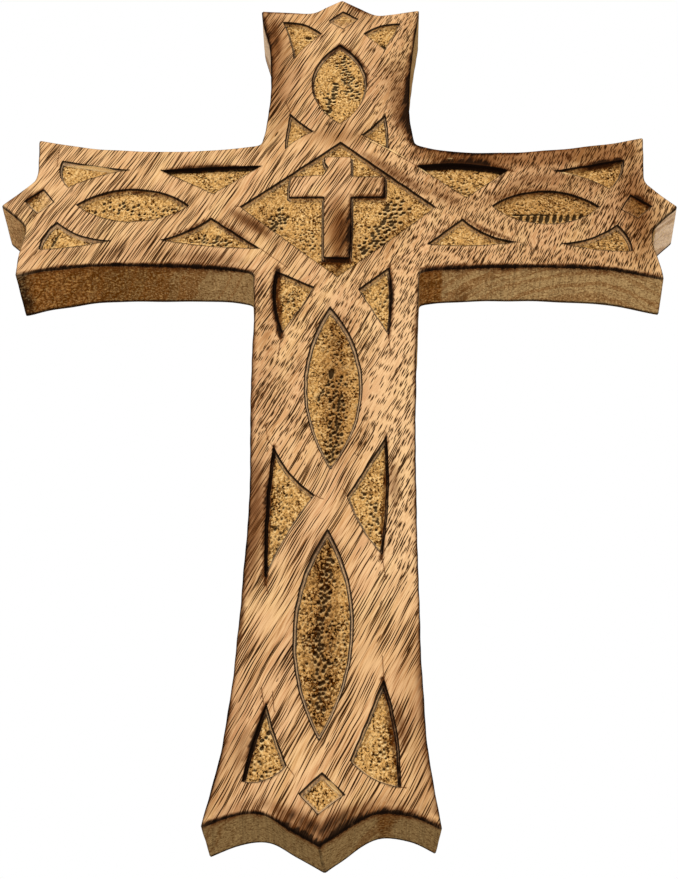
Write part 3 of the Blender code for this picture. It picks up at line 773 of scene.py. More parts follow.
def new_object(name: str, data: Any) -> bpy.types.Object:
    """A new object over some data, linked to the scene."""
    made = bpy.data.objects.new(name, data)
    bpy.context.scene.collection.objects.link(made)
    return made


SAW_LEAN: tuple[tuple[Pair, Pair], ...] = (
    ((-96.7, -28.5), (0.8, -2.4)),
    ((-25.0, -27.5), (-0.9, 0.8)),
    ((-60.0, -24.8), (0.0, -0.9)),
    ((98.0, -28.5), (0.6, -0.6)),
    ((25.5, -27.4), (0.2, 0.1)),
    ((-28.6, -203.7), (0.9, -1.3)),
    ((-0.6, -208.9), (1.4, -0.6)),
    ((28.6, -203.6), (-1.3, 0.3)),
)


@dataclass
class Board:
    """The whole cross: a closed skin over a carved front, sawn sides and a plain back, in mm."""

    outline: Outline
    pockets: tuple[Pocket, ...] = POCKETS
    thickness: float = 17.0
    arris: float = 0.75
    face_step: float = 1.08
    rim_step: float = 0.5
    side_rows: tuple[float, ...] = (0.03, 0.07, 0.13, 0.24, 0.5, 0.78, 0.94, 1.0)
    back_step: float = 3.0
    nail_at: Pair = (0.0, 78.57)
    nail_radius: float = 4.5
    nail_depth: float = 8.0
    nail_points: int = 40
    cut_half: float = 0.26
    cut_depth: float = 0.30
    wall_bow: float = 1.6
    lip_height: float = 0.06
    rim_reach: float = 2.9
    # How far char and painted shade reach in from and out past a rim that faces down, in mm.
    soot_shade_inwards: float = 1.3
    soot_shade_outwards: float = 0.4
    foot_line: float = 0.17
    edge_line: float = 0.8
    corner_char: float = 0.7
    side_char: float = 0.6
    side_torch: float = 1.6
    row_slack: float = 0.03
    clear_of_edge: float = 1.25
    clear_of_knife: float = 0.65
    clear_of_rim: float = 0.62
    clear_of_wall: float = 0.55

    def __post_init__(self) -> None:
        """Works out the loops that everything else is measured from."""
        self.edge = self.outline.loop()
        self.rims = {pocket.name: pocket.rim(self.rim_step) for pocket in self.pockets}
        fine = 0.1
        little = softened(evenly(np.array(LITTLE_CROSS), fine), 0.22, fine)
        self.little = anticlockwise(evenly(little, self.rim_step))

    def into(self, points: np.ndarray) -> np.ndarray:
        """How far in each point lies from the edge, below 0 outside it: exactly so only near the edge."""
        coarse = self.edge[::4]
        distance, _ = to_loop(points, coarse)
        near = np.flatnonzero(distance < 2.5)
        distance = np.where(inside(points, coarse), distance, -distance)
        exact, _ = to_loop(points[near], self.edge)
        distance[near] = np.where(inside(points[near], self.edge), exact, -exact)
        return distance

    def into_pocket(self, pocket: Pocket, points: np.ndarray, reach: float) -> np.ndarray:
        """How far each point lies inside a pocket's rim; in the diamond, the little cross is outside it."""
        deep = depth_inside(points, self.rims[pocket.name], reach)
        if pocket.name == "diamond":
            deep = np.minimum(deep, -depth_inside(points, self.little, reach))
        return deep

    def facing_down(self, pocket: Pocket, points: np.ndarray) -> np.ndarray:
        """How far the nearest wall faces down, from -1 to 1: 1 under an upper rim, -1 over a lower one."""
        rim = self.rims[pocket.name]
        distance, nearest = to_loop(points, rim)
        down = outward(rim)[nearest][:, 1]
        if pocket.name == "diamond":
            near_cross, nearest = to_loop(points, self.little)
            down = np.where(near_cross < distance, -outward(self.little)[nearest][:, 1], down)
        return down

    def rows_beside(self, loop: np.ndarray, offsets: tuple[float, ...], into: Callable) -> list[np.ndarray]:
        """Copies of a loop moved inwards by each offset, where they still lie that far in.

        Args:
            loop: the loop's points.
            offsets: how far in the copies lie, in mm.
            into: what tells how far in each of some points lies.

        Returns:
            The copies' points, without those that another stretch of the loop lies nearer to.
        """
        rows = []
        for offset in offsets:
            row = loop - outward(loop) * offset
            rows.append(row[np.abs(into(row) - offset) < self.row_slack])
        return rows

    def lattice(self, step: float, low: np.ndarray, high: np.ndarray) -> np.ndarray:
        """Points at the corners of even triangles, over a box."""
        rows = np.arange(low[1], high[1], step * math.sqrt(3) / 2)
        columns = np.arange(low[0], high[0], step)
        x, z = np.meshgrid(columns, rows)
        x = x + (np.arange(len(rows)) % 2)[:, None] * step / 2
        return np.stack([x.ravel(), z.ravel()], axis=1)

    def knife_rows(self) -> np.ndarray:
        """Points along each knife line: its bottom and its two lips."""
        rows = []
        for line in KNIFE_LINES:
            run = rounded_run(line, 0.4)
            way = np.array(line[-1], float) - np.array(line[0], float)
            aside = np.array([-way[1], way[0]]) / np.linalg.norm(way)
            rows += [run, run + self.cut_half * aside, run - self.cut_half * aside]
        return np.vstack(rows)

    def plan(self) -> tuple[np.ndarray, list[tuple[int, int]]]:
        """Every point that the front is stretched over, and the lines that its triangles keep.

        Returns:
            The points, the edge's first, and the kept lines as pairs of their numbers.
        """
        groups = [self.edge]
        lines = ring_lines(0, len(self.edge))
        for pocket in self.pockets:
            for loop in [self.rims[pocket.name]] + ([self.little] if pocket.name == "diamond" else []):
                lines += ring_lines(sum(map(len, groups)), len(loop))
                groups.append(loop)
        groups += self.rows_beside(self.edge, (0.14, 0.38, 0.8), self.into)
        for pocket in self.pockets:
            offsets = (-0.2, 0.13, pocket.lean / 2, pocket.lean, pocket.lean + 0.28)
            into = partial(self.into_pocket, pocket, reach=3.0)
            groups += self.rows_beside(self.rims[pocket.name], offsets, into)
            if pocket.name == "diamond":
                groups += self.rows_beside(self.little[::-1], offsets, into)
        knife = self.knife_rows()
        on_face = self.into(knife) > 1.0
        for pocket in self.pockets:
            on_face &= self.into_pocket(pocket, knife, 1.0) < -0.3
        groups.append(knife[on_face])
        low, high = self.edge.min(axis=0), self.edge.max(axis=0)
        face = self.lattice(self.face_step, low, high)
        face = face[self.into(face) > self.clear_of_edge]
        to_knife = np.min([to_line(face, line) for line in KNIFE_LINES], axis=0)
        face = face[to_knife > self.clear_of_knife]
        floors = []
        for pocket in self.pockets:
            face = face[self.into_pocket(pocket, face, 1.5) < -self.clear_of_rim]
            rim = self.rims[pocket.name]
            floor = self.lattice(pocket.step, rim.min(axis=0), rim.max(axis=0))
            deep = self.into_pocket(pocket, floor, 1.5) > pocket.lean + self.clear_of_wall
            floors.append(floor[deep])
        groups += [face, *floors]
        return np.vstack(groups), lines

    def sink(
        self, pocket: Pocket, points: np.ndarray, hammered: np.ndarray, depth: np.ndarray, masks: Masks
    ) -> np.ndarray:
        """Sinks one pocket and marks its floor, wall and rim.

        Its wall falls by 1 - (1 - s)^wall_bow of the floor's depth, with s the share of the way
        across the wall.

        Args:
            pocket: the pocket.
            points: rows of x and z on the face.
            hammered: how uneven a floor is at each point.
            depth: how deep each point lies without the pocket.
            masks: the masks, which are raised.

        Returns:
            How deep each point lies with the pocket.
        """
        into = self.into_pocket(pocket, points, 3.0)
        across = np.clip(into / pocket.lean, 0, 1)
        sunk = pocket.sunk_by(points)
        floor = sunk * (1 - (1 - across) ** self.wall_bow) + hammered * smooth_step(into, 0.3, 1.2)
        lip = self.lip_height * np.clip(1 + into / 0.3, 0, 1) ** 2
        lowered = np.maximum(depth, self.lip_height) + np.maximum(floor, 0)
        fade = np.clip(sunk, 0, 1)
        raise_mask(masks, Surface.SUNK, smooth_step(into, 0.0, 0.5 * pocket.lean) * fade)
        beyond = smooth_step(into, pocket.lean - 0.1, pocket.lean + 0.2)
        raise_mask(masks, Surface.WALL, smooth_step(into, 0.0, 0.15) * (1 - beyond) * fade)
        near = np.flatnonzero(np.abs(into) < self.rim_reach)
        here = into[near]
        # Walls that face down get char and painted shade, strongest under upper rims, and their rim line is
        # darker too.
        facing = self.facing_down(pocket, points[near])
        down, up = np.clip(facing, 0, 1), np.clip(-facing, 0, 1)
        sooted_and_shaded = down * pocket.scorch_and_shade
        inwards, outwards = np.exp(-((here / self.soot_shade_inwards) ** 2)), np.exp(here / self.soot_shade_outwards)
        soot_and_shade = sooted_and_shaded * np.where(here > 0, inwards, outwards)
        raise_mask(masks, Surface.UPPER, soot_and_shade * fade[near], near)
        at_foot = np.exp(-(((here - pocket.lean) / self.foot_line) ** 2))
        foot = (0.9 - 0.7 * np.abs(facing)) * at_foot * fade[near]
        breadth = np.where(here > 0, 0.26 - 0.11 * down, 0.15 + 0.10 * up)
        line = (0.95 + 0.45 * sooted_and_shaded) * np.exp(-((here / breadth) ** 2))
        raise_mask(masks, Surface.RIM, np.maximum(foot, line), near)
        return np.where(into > 0, lowered, depth + lip)

    def carve(self, points: np.ndarray) -> tuple[np.ndarray, Masks]:
        """How deep the front lies at each point, and what each place is.

        The arris is a quarter circle. Dents, knife cuts and slight waves come on top of the pockets.

        Args:
            points: rows of x and z on the face.

        Returns:
            The depths below the face, and the masks.
        """
        masks: Masks = {name: np.zeros(len(points)) for name in Surface}
        edge = self.into(points)
        round_off = np.clip(self.arris - edge, 0, self.arris)
        depth = self.arris - np.sqrt(np.maximum(self.arris**2 - round_off**2, 0))
        waves = 0.05 * ripple(points, 26.0, 5) + 0.02 * ripple(points, 5.0, 6)
        depth += waves * smooth_step(edge, 0.5, 3.0)
        hammered = 0.10 * ripple(points, 6.0, 8) + 0.07 * ripple(points, 2.1, 9)
        hammered += 0.05 * ripple(points, 1.3, 10)
        for pocket in self.pockets:
            depth = self.sink(pocket, points, hammered, depth, masks)
        in_pocket = masks[Surface.SUNK] > 0.5
        for patch in PUNCHED:
            marks, lit_lips = patch.laid_on(points)
            depth += marks * in_pocket * 0.8
            raise_mask(masks, Surface.PITS, marks * in_pocket / 0.6)
            raise_mask(masks, Surface.LIT_LIPS, lit_lips * in_pocket / 0.6)
        for line in KNIFE_LINES:
            cut = np.clip(1 - to_line(points, line) / self.cut_half, 0, 1) * (1 - masks[Surface.SUNK])
            depth += self.cut_depth * cut
            raise_mask(masks, Surface.KNIFE, cut)
        for name, strokes in ((Surface.TORCH_AND_SHADE, TORCHED_AND_SHADED), (Surface.TONE, BROWNED), (Surface.PALE, PALE)):
            for stroke in strokes:
                masks[name] += stroke.laid_on(points)
        masks[Surface.EDGE] = np.exp(-np.maximum(edge, 0) / self.edge_line)
        return depth, masks

    def front(self) -> tuple[np.ndarray, np.ndarray, np.ndarray, Masks]:
        """The carved front: its points in space, its triangles, its edge's points, and its masks."""
        plan, faces, numbers = stretched(*self.plan())
        ring = numbers[: len(self.edge)]
        depth, masks = self.carve(plan)
        depth[ring] = self.arris
        return in_space(plan, depth - self.thickness), faces, ring, masks

    def back(self) -> tuple[np.ndarray, np.ndarray, np.ndarray, np.ndarray]:
        """The plain back: its plan, its triangles, and its edge's and its hole's points."""
        ring = self.edge + self.saw_lean() - outward(self.edge) * self.arris
        turn = np.arange(self.nail_points) * 2 * np.pi / self.nail_points
        hole = np.array(self.nail_at) + self.nail_radius * np.stack([np.cos(turn), np.sin(turn)], axis=1)
        fill = self.lattice(self.back_step, self.edge.min(axis=0), self.edge.max(axis=0))
        clear = np.linalg.norm(fill - self.nail_at, axis=1) > self.nail_radius + 1
        points = np.vstack([ring, hole, fill[(self.into(fill) > 4.0) & clear]])
        lines = ring_lines(0, len(ring)) + ring_lines(len(ring), len(hole))
        plan, faces, numbers = stretched(points, lines)
        centres = plan[faces].mean(axis=1)
        faces = faces[np.linalg.norm(centres - self.nail_at, axis=1) > self.nail_radius * 0.98]
        return plan, faces, numbers[: len(ring)], numbers[len(ring) : len(ring) + len(hole)]

    def saw_lean(self) -> np.ndarray:
        """How far the back's edge stands off from the front's: the measured leans, by nearness."""
        weighted = np.zeros_like(self.edge)
        total = np.full(len(self.edge), 0.05)
        for at, lean in SAW_LEAN:
            weight = np.exp(-(((self.edge - at) ** 2).sum(axis=1) / 20.0**2))
            weighted += weight[:, None] * np.array(lean)
            total += weight
        return weighted / total[:, None]

    def rings(self) -> list[tuple[float, np.ndarray]]:
        """The side's rings from the front edge to the back plane, each as its y and its x and z in mm."""
        out, lean = outward(self.edge), self.saw_lean()
        run = np.arange(len(self.edge)) * self.outline.step
        rows = []
        for share in self.side_rows:
            y = (1 - share) * (self.arris - self.thickness) - share * self.arris
            sawn = 0.05 * np.sin(run / 2.9 + 4 * share) + 0.05 * np.sin(run / 11.0 - 9 * share + 1)
            rows.append((y, self.edge + lean * share + out * (sawn * math.sin(math.pi * share))[:, None]))
        for turn in (30, 60):
            angle = math.radians(turn)
            inset = self.arris * (1 - math.cos(angle))
            rows.append((-self.arris * (1 - math.sin(angle)), self.edge + lean - out * inset))
        return rows

    def stain_and_highlight(self) -> np.ndarray:
        """How reddish-brown the side is at each point of the edge: 0 is olive-tan, and below 0 it is painted
        pale as a highlight.
        """
        x, z = self.edge[:, 0], self.edge[:, 1]
        left_end = smooth_step(-x, 28, 74) * (0.25 + 0.75 * smooth_step(-z, 6.5, 9.0)) * (z < 0)
        crook_block = smooth_step(x, 24.4, 25.6) * (1 - smooth_step(x, 31.2, 32.6)) * (np.abs(z) < 60)
        foot_patch = smooth_step(x, 13, 14) * (1 - smooth_step(x, 16, 19)) * 0.6 * (z < -150)
        # The right tip's lower side and the top arm's left side are painted pale: painted highlights.
        right_tip = smooth_step(x, 97.0, 98.6) * (z < 0) * (z > -16) * 0.9
        top_left = smooth_step(-x, 21, 22.5) * (z > 30) * 0.7
        return np.maximum(np.maximum(left_end, crook_block), foot_patch) - right_tip - top_left

    def skin(self) -> Skin:
        """The closed skin: front, sides, back and nail hole, joined along shared rings."""
        skin = Skin()
        front, front_faces, ring, masks = self.front()
        skin.add(front, masks)
        skin.faces.append(front_faces)
        torched = np.sum([stroke.laid_on(self.edge) for stroke in TORCHED_AND_SHADED], axis=0)
        corners = [np.linalg.norm(self.edge - run[0], axis=1) for run in self.outline.runs]
        corner = 0.9 * np.exp(-((np.min(corners, axis=0) / self.corner_char) ** 2))
        stain_and_highlight = self.stain_and_highlight()
        for y, plan in self.rings():
            drop = y - (self.arris - self.thickness)
            charred = math.exp(-drop / self.side_char) + 2.4 * math.exp(y)
            marks = {
                Surface.SAWN: 1.0,
                Surface.EDGE: np.maximum(charred, corner),
                Surface.TORCH_AND_SHADE: torched * math.exp(-drop / self.side_torch),
                Surface.STAIN_AND_HIGHLIGHT: stain_and_highlight,
            }
            row = skin.add(in_space(plan, y), marks)
            skin.strip(ring, row)
            ring = row
        back, back_faces, back_ring, hole_ring = self.back()
        behind = skin.add(in_space(back, 0.0), {})
        skin.faces.append(behind[back_faces[:, ::-1]])
        skin.strip(ring, behind[back_ring])
        ring = behind[hole_ring]
        # The nail hole's wall and bottom are darkened with painted shade.
        for y in (-0.5 * self.nail_depth, -self.nail_depth):
            row = skin.add(in_space(back[hole_ring], y), {Surface.UPPER: 0.3})
            skin.strip(ring, row)
            ring = row
        centre = skin.add(in_space(np.array([self.nail_at]), -self.nail_depth), {Surface.UPPER: 0.5})
        bottom = np.broadcast_to(centre, len(ring))
        skin.faces.append(np.stack([np.roll(ring, -1), ring, bottom], axis=1))
        return skin

    def build(self) -> bpy.types.Object:
        """Makes the carved board's object and puts it in the CAD node's place."""
        skin = self.skin()
        points, faces = np.vstack(skin.points), np.vstack(skin.faces)
        mesh = bpy.data.meshes.new("carved_board")
        mesh.from_pydata((points * MM).tolist(), [], faces.tolist())
        mesh.polygons.foreach_set("use_smooth", np.ones(len(faces), bool))
        for name, values in skin.masks.items():
            layer = mesh.attributes.new(name.value, "FLOAT", "POINT")
            layer.data.foreach_set("value", np.concatenate(values).astype(np.float32))
        mesh.update()
        board = new_object("carved_board", mesh)
        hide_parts("carved_cross")
        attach(board, "root")
        log.info("carved_board: %d points, %d triangles", len(points), len(faces))
        return board


def paint(red: float, green: float, blue: float) -> Colour:
    """A colour as a picture shows it, from 0 to 255, as the linear values that a shader takes."""
    shares = (red / 255, green / 255, blue / 255)
    linear = [c / 12.92 if c <= 0.04045 else ((c + 0.055) / 1.055) ** 2.4 for c in shares]
    return (linear[0], linear[1], linear[2], 1.0)


class Wire:
    """A shader socket that can be reckoned with: +, -, * and / on values make Math nodes."""

    def __init__(self, bench: "Bench", socket: bpy.types.NodeSocket) -> None:
        """Keeps the socket and the material that it belongs to."""
        self.bench = bench
        self.socket = socket

    def _math(self, operation: str, *values: Any) -> "Wire":
        """A Math node over the given values."""
        return self.bench.node("ShaderNodeMath", {"operation": operation}, dict(enumerate(values)))

    def __add__(self, other: Any) -> "Wire":
        """This plus other."""
        return self._math("ADD", self, other)

    __radd__ = __add__

    def __sub__(self, other: Any) -> "Wire":
        """This minus other."""
        return self._math("SUBTRACT", self, other)

    def __rsub__(self, other: Any) -> "Wire":
        """The other minus this."""
        return self._math("SUBTRACT", other, self)

    def __mul__(self, other: Any) -> "Wire":
        """This times other."""
        return self._math("MULTIPLY", self, other)

    __rmul__ = __mul__

    def __truediv__(self, other: Any) -> "Wire":
        """This divided by other."""
        return self._math("DIVIDE", self, other)

    def power(self, exponent: float) -> "Wire":
        """This raised to a power."""
        return self._math("POWER", self, exponent)

    def most(self, other: Any) -> "Wire":
        """The greater of this and other."""
        return self._math("MAXIMUM", self, other)

    def least(self, other: Any) -> "Wire":
        """The lesser of this and other."""
        return self._math("MINIMUM", self, other)

    def between(self, low: float, high: float) -> "Wire":
        """0 below low, 1 above high, and a smooth rise between them; low may be the greater."""
        settings = {"interpolation_type": "SMOOTHSTEP"}
        ends = {1: high, 2: low, 3: 1.0, 4: 0.0} if low > high else {1: low, 2: high, 3: 0.0, 4: 1.0}
        return self.bench.node("ShaderNodeMapRange", settings, {0: self, **ends})


class Bench:
    """One material's nodes and the calls that add to them."""

    def __init__(self, name: str) -> None:
        """Starts an empty material."""
        self.material = bpy.data.materials.new(name)
        self.material.use_nodes = True
        self.tree = self.material.node_tree
        self.tree.nodes.clear()

    def node(self, kind: str, settings: dict[str, Any], inputs: dict[Any, Any], output: Any = 0) -> Wire:
        """Adds a node: its settings first, then the values or links of its sockets.

        Args:
            kind: the node's type.
            settings: its own settings.
            inputs: a value or a wire for each socket, by name or number.
            output: the name or number of the socket that comes back.

        Returns:
            The wire from that output, or from nothing for a node with none.
        """
        made = self.tree.nodes.new(kind)
        for name, value in settings.items():
            setattr(made, name, value)
        for name, value in inputs.items():
            socket = made.inputs[name]
            if isinstance(value, Wire):
                self.tree.links.new(value.socket, socket)
            else:
                socket.default_value = value
        return Wire(self, made.outputs[output] if len(made.outputs) else None)

    def blend(self, factor: Any, first: Any, second: Any, how: str = "MIX") -> Wire:
        """Two colours mixed by a factor, in the way named."""
        settings = {"data_type": "RGBA", "blend_type": how, "clamp_factor": True}
        return self.node("ShaderNodeMix", settings, {0: factor, 6: first, 7: second}, 2)

    def coats(self, colour: Any, *coats: tuple[Any, Any]) -> Wire:
        """A colour under further coats, each as how much of it there is, from 0 to 1, and its colour."""
        for share, coat in coats:
            colour = self.blend(share, colour, coat)
        return colour

    def mask(self, name: Surface) -> Wire:
        """One of the board's attributes."""
        return self.node("ShaderNodeAttribute", {"attribute_name": name.value}, {}, "Fac")

    def place(self) -> tuple[Wire, Wire, Wire]:
        """The object's own x, y and z, in mm."""
        coordinates = self.node("ShaderNodeTexCoord", {}, {}, "Object")
        axes = [self.node("ShaderNodeSeparateXYZ", {}, {0: coordinates}, i) for i in range(3)]
        return axes[0] * (1 / MM), axes[1] * (1 / MM), axes[2] * (1 / MM)

    def join(self, x: Any, y: Any, z: Any) -> Wire:
        """Three values as one vector."""
        return self.node("ShaderNodeCombineXYZ", {}, {0: x, 1: y, 2: z})

    def noise_at(self, at: Wire, detail: float, rough: float = 0.55) -> Wire:
        """A noise from 0 to 1 whose features are about one unit of its vector."""
        inputs = {"Vector": at, "Scale": 1.0, "Detail": detail, "Roughness": rough}
        return self.node("ShaderNodeTexNoise", {}, inputs)

    def noise(self, x: Any, y: Any, z: Any, detail: float, rough: float = 0.55) -> Wire:
        """The same noise over three values."""
        return self.noise_at(self.join(x, y, z), detail, rough)

    def cells(self, at: Wire) -> tuple[Wire, Wire, Wire]:
        """How far the nearest of points strewn a unit apart is, its random value, and where it is."""
        inputs = {"Vector": at, "Scale": 1.0, "Randomness": 1.0}
        near = self.node("ShaderNodeTexVoronoi", {"voronoi_dimensions": "2D"}, inputs, "Distance")
        colour = Wire(self, near.socket.node.outputs["Color"])
        spot = Wire(self, near.socket.node.outputs["Position"])
        return near, self.node("ShaderNodeSeparateColor", {}, {0: colour}), spot

    def finish(self, inputs: dict[str, Any]) -> bpy.types.Material:
        """Joins a shader with these inputs to the material's output, and returns the material."""
        shader = self.node("ShaderNodeBsdfPrincipled", {}, inputs)
        self.node("ShaderNodeOutputMaterial", {}, {"Surface": shader})
        return self.material


@dataclass(frozen=True)
class Grain:
    """Which way the fibres lean, in degrees from level, and how far they wander, in mm."""

    lean: float
    wander: float = 1.1

    def run(self, bench: Bench, x: Wire, z: Wire) -> tuple[Wire, Wire]:
        """How far each place lies along the fibres and across them, in mm, with a slow wander."""
        turn = math.radians(self.lean)
        slow = bench.noise(x / 26.0, 0.3, z / 26.0, 1.0) - 0.5
        quick = bench.noise(x / 6.0, 0.7, z / 6.0, 1.0) - 0.5
        along = x * math.cos(turn) + z * math.sin(turn)
        across = z * math.cos(turn) - x * math.sin(turn) + slow * (2 * self.wander) + quick * 0.3
        return along, across


@dataclass(frozen=True)
class Pores:
    """Scattered dashes along the grain: the pitch of their cells, and their half width, in mm."""

    long: float
    wide: float
    thick: float
    share: float
    shift: float

    def lay(self, bench: Bench, along: Wire, across: Wire, bias: Any = 0.0) -> tuple[Wire, Wire, Wire]:
        """The dashes, the rusty fringe of each and the pale lip round that, all from 0 to 1.

        A dash is where the nearest scattered point is near, on a plane squeezed along the grain, so
        that it is a slim ellipse. Whether a dash is there hangs on its middle alone.
        """
        at = bench.join(along / self.long + self.shift, across / self.wide + self.shift, 0.0)
        near, chance, spot = bench.cells(at)
        ragged = near + (bench.noise(along / 2.5, across / 0.6, 0.0, 1.0) - 0.5) * 0.05
        squeeze = (self.long / 14, self.wide / 4, 1.0)
        middle = bench.node("ShaderNodeVectorMath", {"operation": "MULTIPLY"}, {0: spot, 1: squeeze})
        crowd = bench.noise_at(middle, 1.0)
        reach = self.thick / self.wide
        kept = (chance - (crowd - 0.5) * 0.35 - bias).between(self.share + 0.01, self.share - 0.01)
        dash = ragged.between(1.1 * reach, 0.75 * reach) * kept
        fringe = ragged.between(1.9 * reach, 1.1 * reach) * kept
        lip = ragged.between(3.6 * reach, 2.4 * reach) * ragged.between(1.5 * reach, 1.9 * reach) * kept
        return dash, fringe, lip


@dataclass(frozen=True)
class ScorchedMango:
    """Scorched and waxed mango wood: tan, with leaning pores, ochre pockets and torched edges."""

    tan: Colour = paint(205, 155, 103)
    pink: Colour = paint(202, 150, 106)
    honey: Colour = paint(212, 168, 112)
    cream: Colour = paint(242, 202, 150)
    shade: Colour = paint(132, 76, 24)
    pore: Colour = paint(28, 8, 0)
    rust: Colour = paint(114, 64, 6)
    ochre: Colour = paint(214, 162, 92)
    straw: Colour = paint(242, 202, 138)
    umber: Colour = paint(94, 50, 4)
    char: Colour = paint(20, 12, 8)
    brown: Colour = paint(94, 50, 18)
    olive: Colour = paint(182, 146, 96)
    reddish: Colour = paint(142, 92, 44)
    browning: Colour = (0.51, 0.41, 0.33, 1.0)
    foot_shade: Colour = (0.56, 0.55, 0.52, 1.0)
    dusky: Colour = paint(112, 80, 42)
    cut: Colour = paint(222, 190, 152)
    blush: Colour = paint(234, 202, 168)
    long_pores: tuple[Pores, ...] = (
        Pores(27, 0.64, 0.118, 0.67, 0.0),
        Pores(40, 0.80, 0.128, 0.66, 5.3),
        Pores(18, 0.52, 0.108, 0.62, 11.6),
    )
    short_pores: tuple[Pores, ...] = (
        Pores(5.4, 0.62, 0.114, 0.80, 2.1),
        Pores(4.0, 0.50, 0.102, 0.74, 8.4),
        Pores(8.5, 0.75, 0.110, 0.56, 3.7),
    )

    def face(self, bench: Bench, x: Wire, y: Wire, z: Wire) -> tuple[Wire, Wire, Wire]:
        """The planed face.

        Returns:
            Its colour, how much of a pore each place is, and streaks along the grain.
        """
        along, across = Grain(65.0).run(bench, x, z)
        steep_along, steep_across = Grain(67.0).run(bench, x, z)
        right = x.between(6, 24) * z.between(-150, -120)
        broad = bench.noise(along / 30.0, y / 9.0, across / 9.0, 2.0)
        pale = bench.noise(along / 22.0, y / 5.0 + 7.0, across / 7.0, 2.0)
        figure = bench.noise(along / 17.0, y / 2.0 + 3.0, across / 1.5, 3.0)
        fibre = bench.noise(along / 8.0, y / 0.5, across / 0.42, 2.0)
        fair = x.between(6, 15) * z.between(-28, -38) * z.between(-150, -130)
        left = x.between(-22, -36) * 0.12
        shaft_top = z.between(-24, -36) * z.between(-102, -84) * (1 - right)
        fewer_long = left - right * 0.5 - shaft_top * 0.26
        fewer_short = (right.most(shaft_top * 0.62) - 1) * 0.8
        laid = [pores.lay(bench, along, across, fewer_long) for pores in self.long_pores]
        laid += [pores.lay(bench, steep_along, steep_across, fewer_short) for pores in self.short_pores]
        pore, fringe, lip = (reduce(Wire.most, same) for same in zip(*laid))
        colour = bench.coats(
            self.tan,
            (broad.between(0.38, 0.62) * 0.7, self.pink),
            (pale.between(0.5, 0.68) * 0.8, self.honey),
            (figure.between(0.54, 0.76) * 0.2, self.cream),
            (figure.between(0.53, 0.28) * 0.42, self.shade),
            (fibre.between(0.54, 0.74) * 0.3, self.cream),
            (fibre.between(0.48, 0.3) * 0.55, self.shade),
            (fair * 0.35, self.cream),
            (lip * 0.4, self.cream),
            (fringe * 0.62, self.rust),
            (pore * 0.95, self.pore),
        )
        return colour, pore, figure * 0.5 + fibre * 0.5

    def floor(self, bench: Bench, x: Wire, y: Wire, z: Wire) -> tuple[Wire, Wire]:
        """The pocket floors' colour, and how dark a speck each place is."""
        patch = bench.noise(x / 4.5, y / 5.0, z / 6.0, 2.0)
        along, across = Grain(62.0, 0.5).run(bench, x, z)
        combed = bench.noise(along / 4.0, 0.2, across / 0.75, 2.0)
        # Scorch strokes, painted shadow among them, make the floor's specks denser.
        burnt_and_shaded = bench.mask(Surface.TORCH_AND_SHADE).least(1.0)
        speck = bench.noise(x / 1.0, y / 1.0, z / 1.2, 4.0, 0.8) + burnt_and_shaded * 0.13
        grit = bench.noise(x / 0.6 + 5.0, y / 0.6, z / 0.7, 2.0, 0.6) + burnt_and_shaded * 0.08
        pits, lit_lips = bench.mask(Surface.PITS), bench.mask(Surface.LIT_LIPS)
        busy = 0.5 + 0.5 * patch.between(0.36, 0.56)
        colour = bench.coats(
            self.ochre,
            (patch.between(0.48, 0.7) * 0.45, self.umber),
            (combed.between(0.52, 0.64) * (1.1 - busy), self.straw),
            (combed.between(0.47, 0.36) * (1.1 - busy), self.umber),
            (speck.between(0.50, 0.60) * busy, self.umber),
            (grit.between(0.45, 0.36) * busy, self.straw),
            (grit.between(0.54, 0.62) * busy, self.pore),
            # Painted highlight just below each dent.
            (lit_lips.between(0.25, 0.7) * 0.85, self.straw),
            (pits.between(0.2, 0.6) * 0.92, self.pore),
        )
        return colour, (speck * 0.5 + grit * 0.5 + pits * 0.5).least(1.0)

    def side(self, bench: Bench, x: Wire, y: Wire, z: Wire) -> Wire:
        """The sawn sides' colour: olive-tan or reddish, with growth bands, streaks and blots, and painted
        highlights on some end faces.
        """
        stain_and_highlight = bench.mask(Surface.STAIN_AND_HIGHLIGHT)
        patch = bench.noise(x / 14.0, y / 8.0, z / 14.0, 2.0)
        rings = (((x - 78) * (x - 78) + (y - 34) * (y - 34)).power(0.5)) + (patch - 0.5) * 6.0
        bands = bench.noise(rings / 2.3, 0.5, z / 60.0, 1.0)
        speck = bench.noise(x / 0.9, y / 0.7, z / 0.9, 2.0, 0.7)
        grit = bench.noise(x / 0.6, y / 0.6 + 3.0, z / 0.6, 1.0)
        streak = bench.noise((x + y) / 2.0, (x - y) / 12.0, z / 6.0, 3.0)
        dusk = x.between(-88, -66) * x.between(-26, -58) * z.between(-20, -24)
        blot = x.between(-91, -96) * z.between(-20, -24) * bench.noise(x / 4.0, y / 4.0, 0.0, 3.0)
        behind = x.between(35, 38) * x.between(44, 41) * y.between(-9, -6) * z.between(-20, -24)
        colour = bench.coats(
            self.olive,
            ((stain_and_highlight + (patch - 0.5) * 0.6).between(0.1, 0.9), self.reddish),
            # Painted highlight: pale blush where the side mask is below 0.
            (stain_and_highlight.between(-0.1, -0.7), self.blush),
            (dusk * 0.8, self.dusky),
            (bands.between(0.44, 0.6) * 0.5, self.shade),
            # Painted highlight on the left tip's end faces.
            (x.between(-97.5, -99.5) * 0.7, self.tan),
            (streak.between(0.48, 0.62) * (0.08 + stain_and_highlight * 0.7), self.umber),
            (speck.between(0.48, 0.6) * (0.6 + stain_and_highlight * 0.35), self.umber),
            (speck.between(0.45, 0.35) * stain_and_highlight * 0.5, self.ochre),
            ((blot * 1.8).least(0.85), self.char),
            (grit.between(0.46, 0.34) * (0.4 - stain_and_highlight * 0.25), self.straw),
            (behind * streak.between(0.42, 0.55) * 0.7, self.umber),
        )
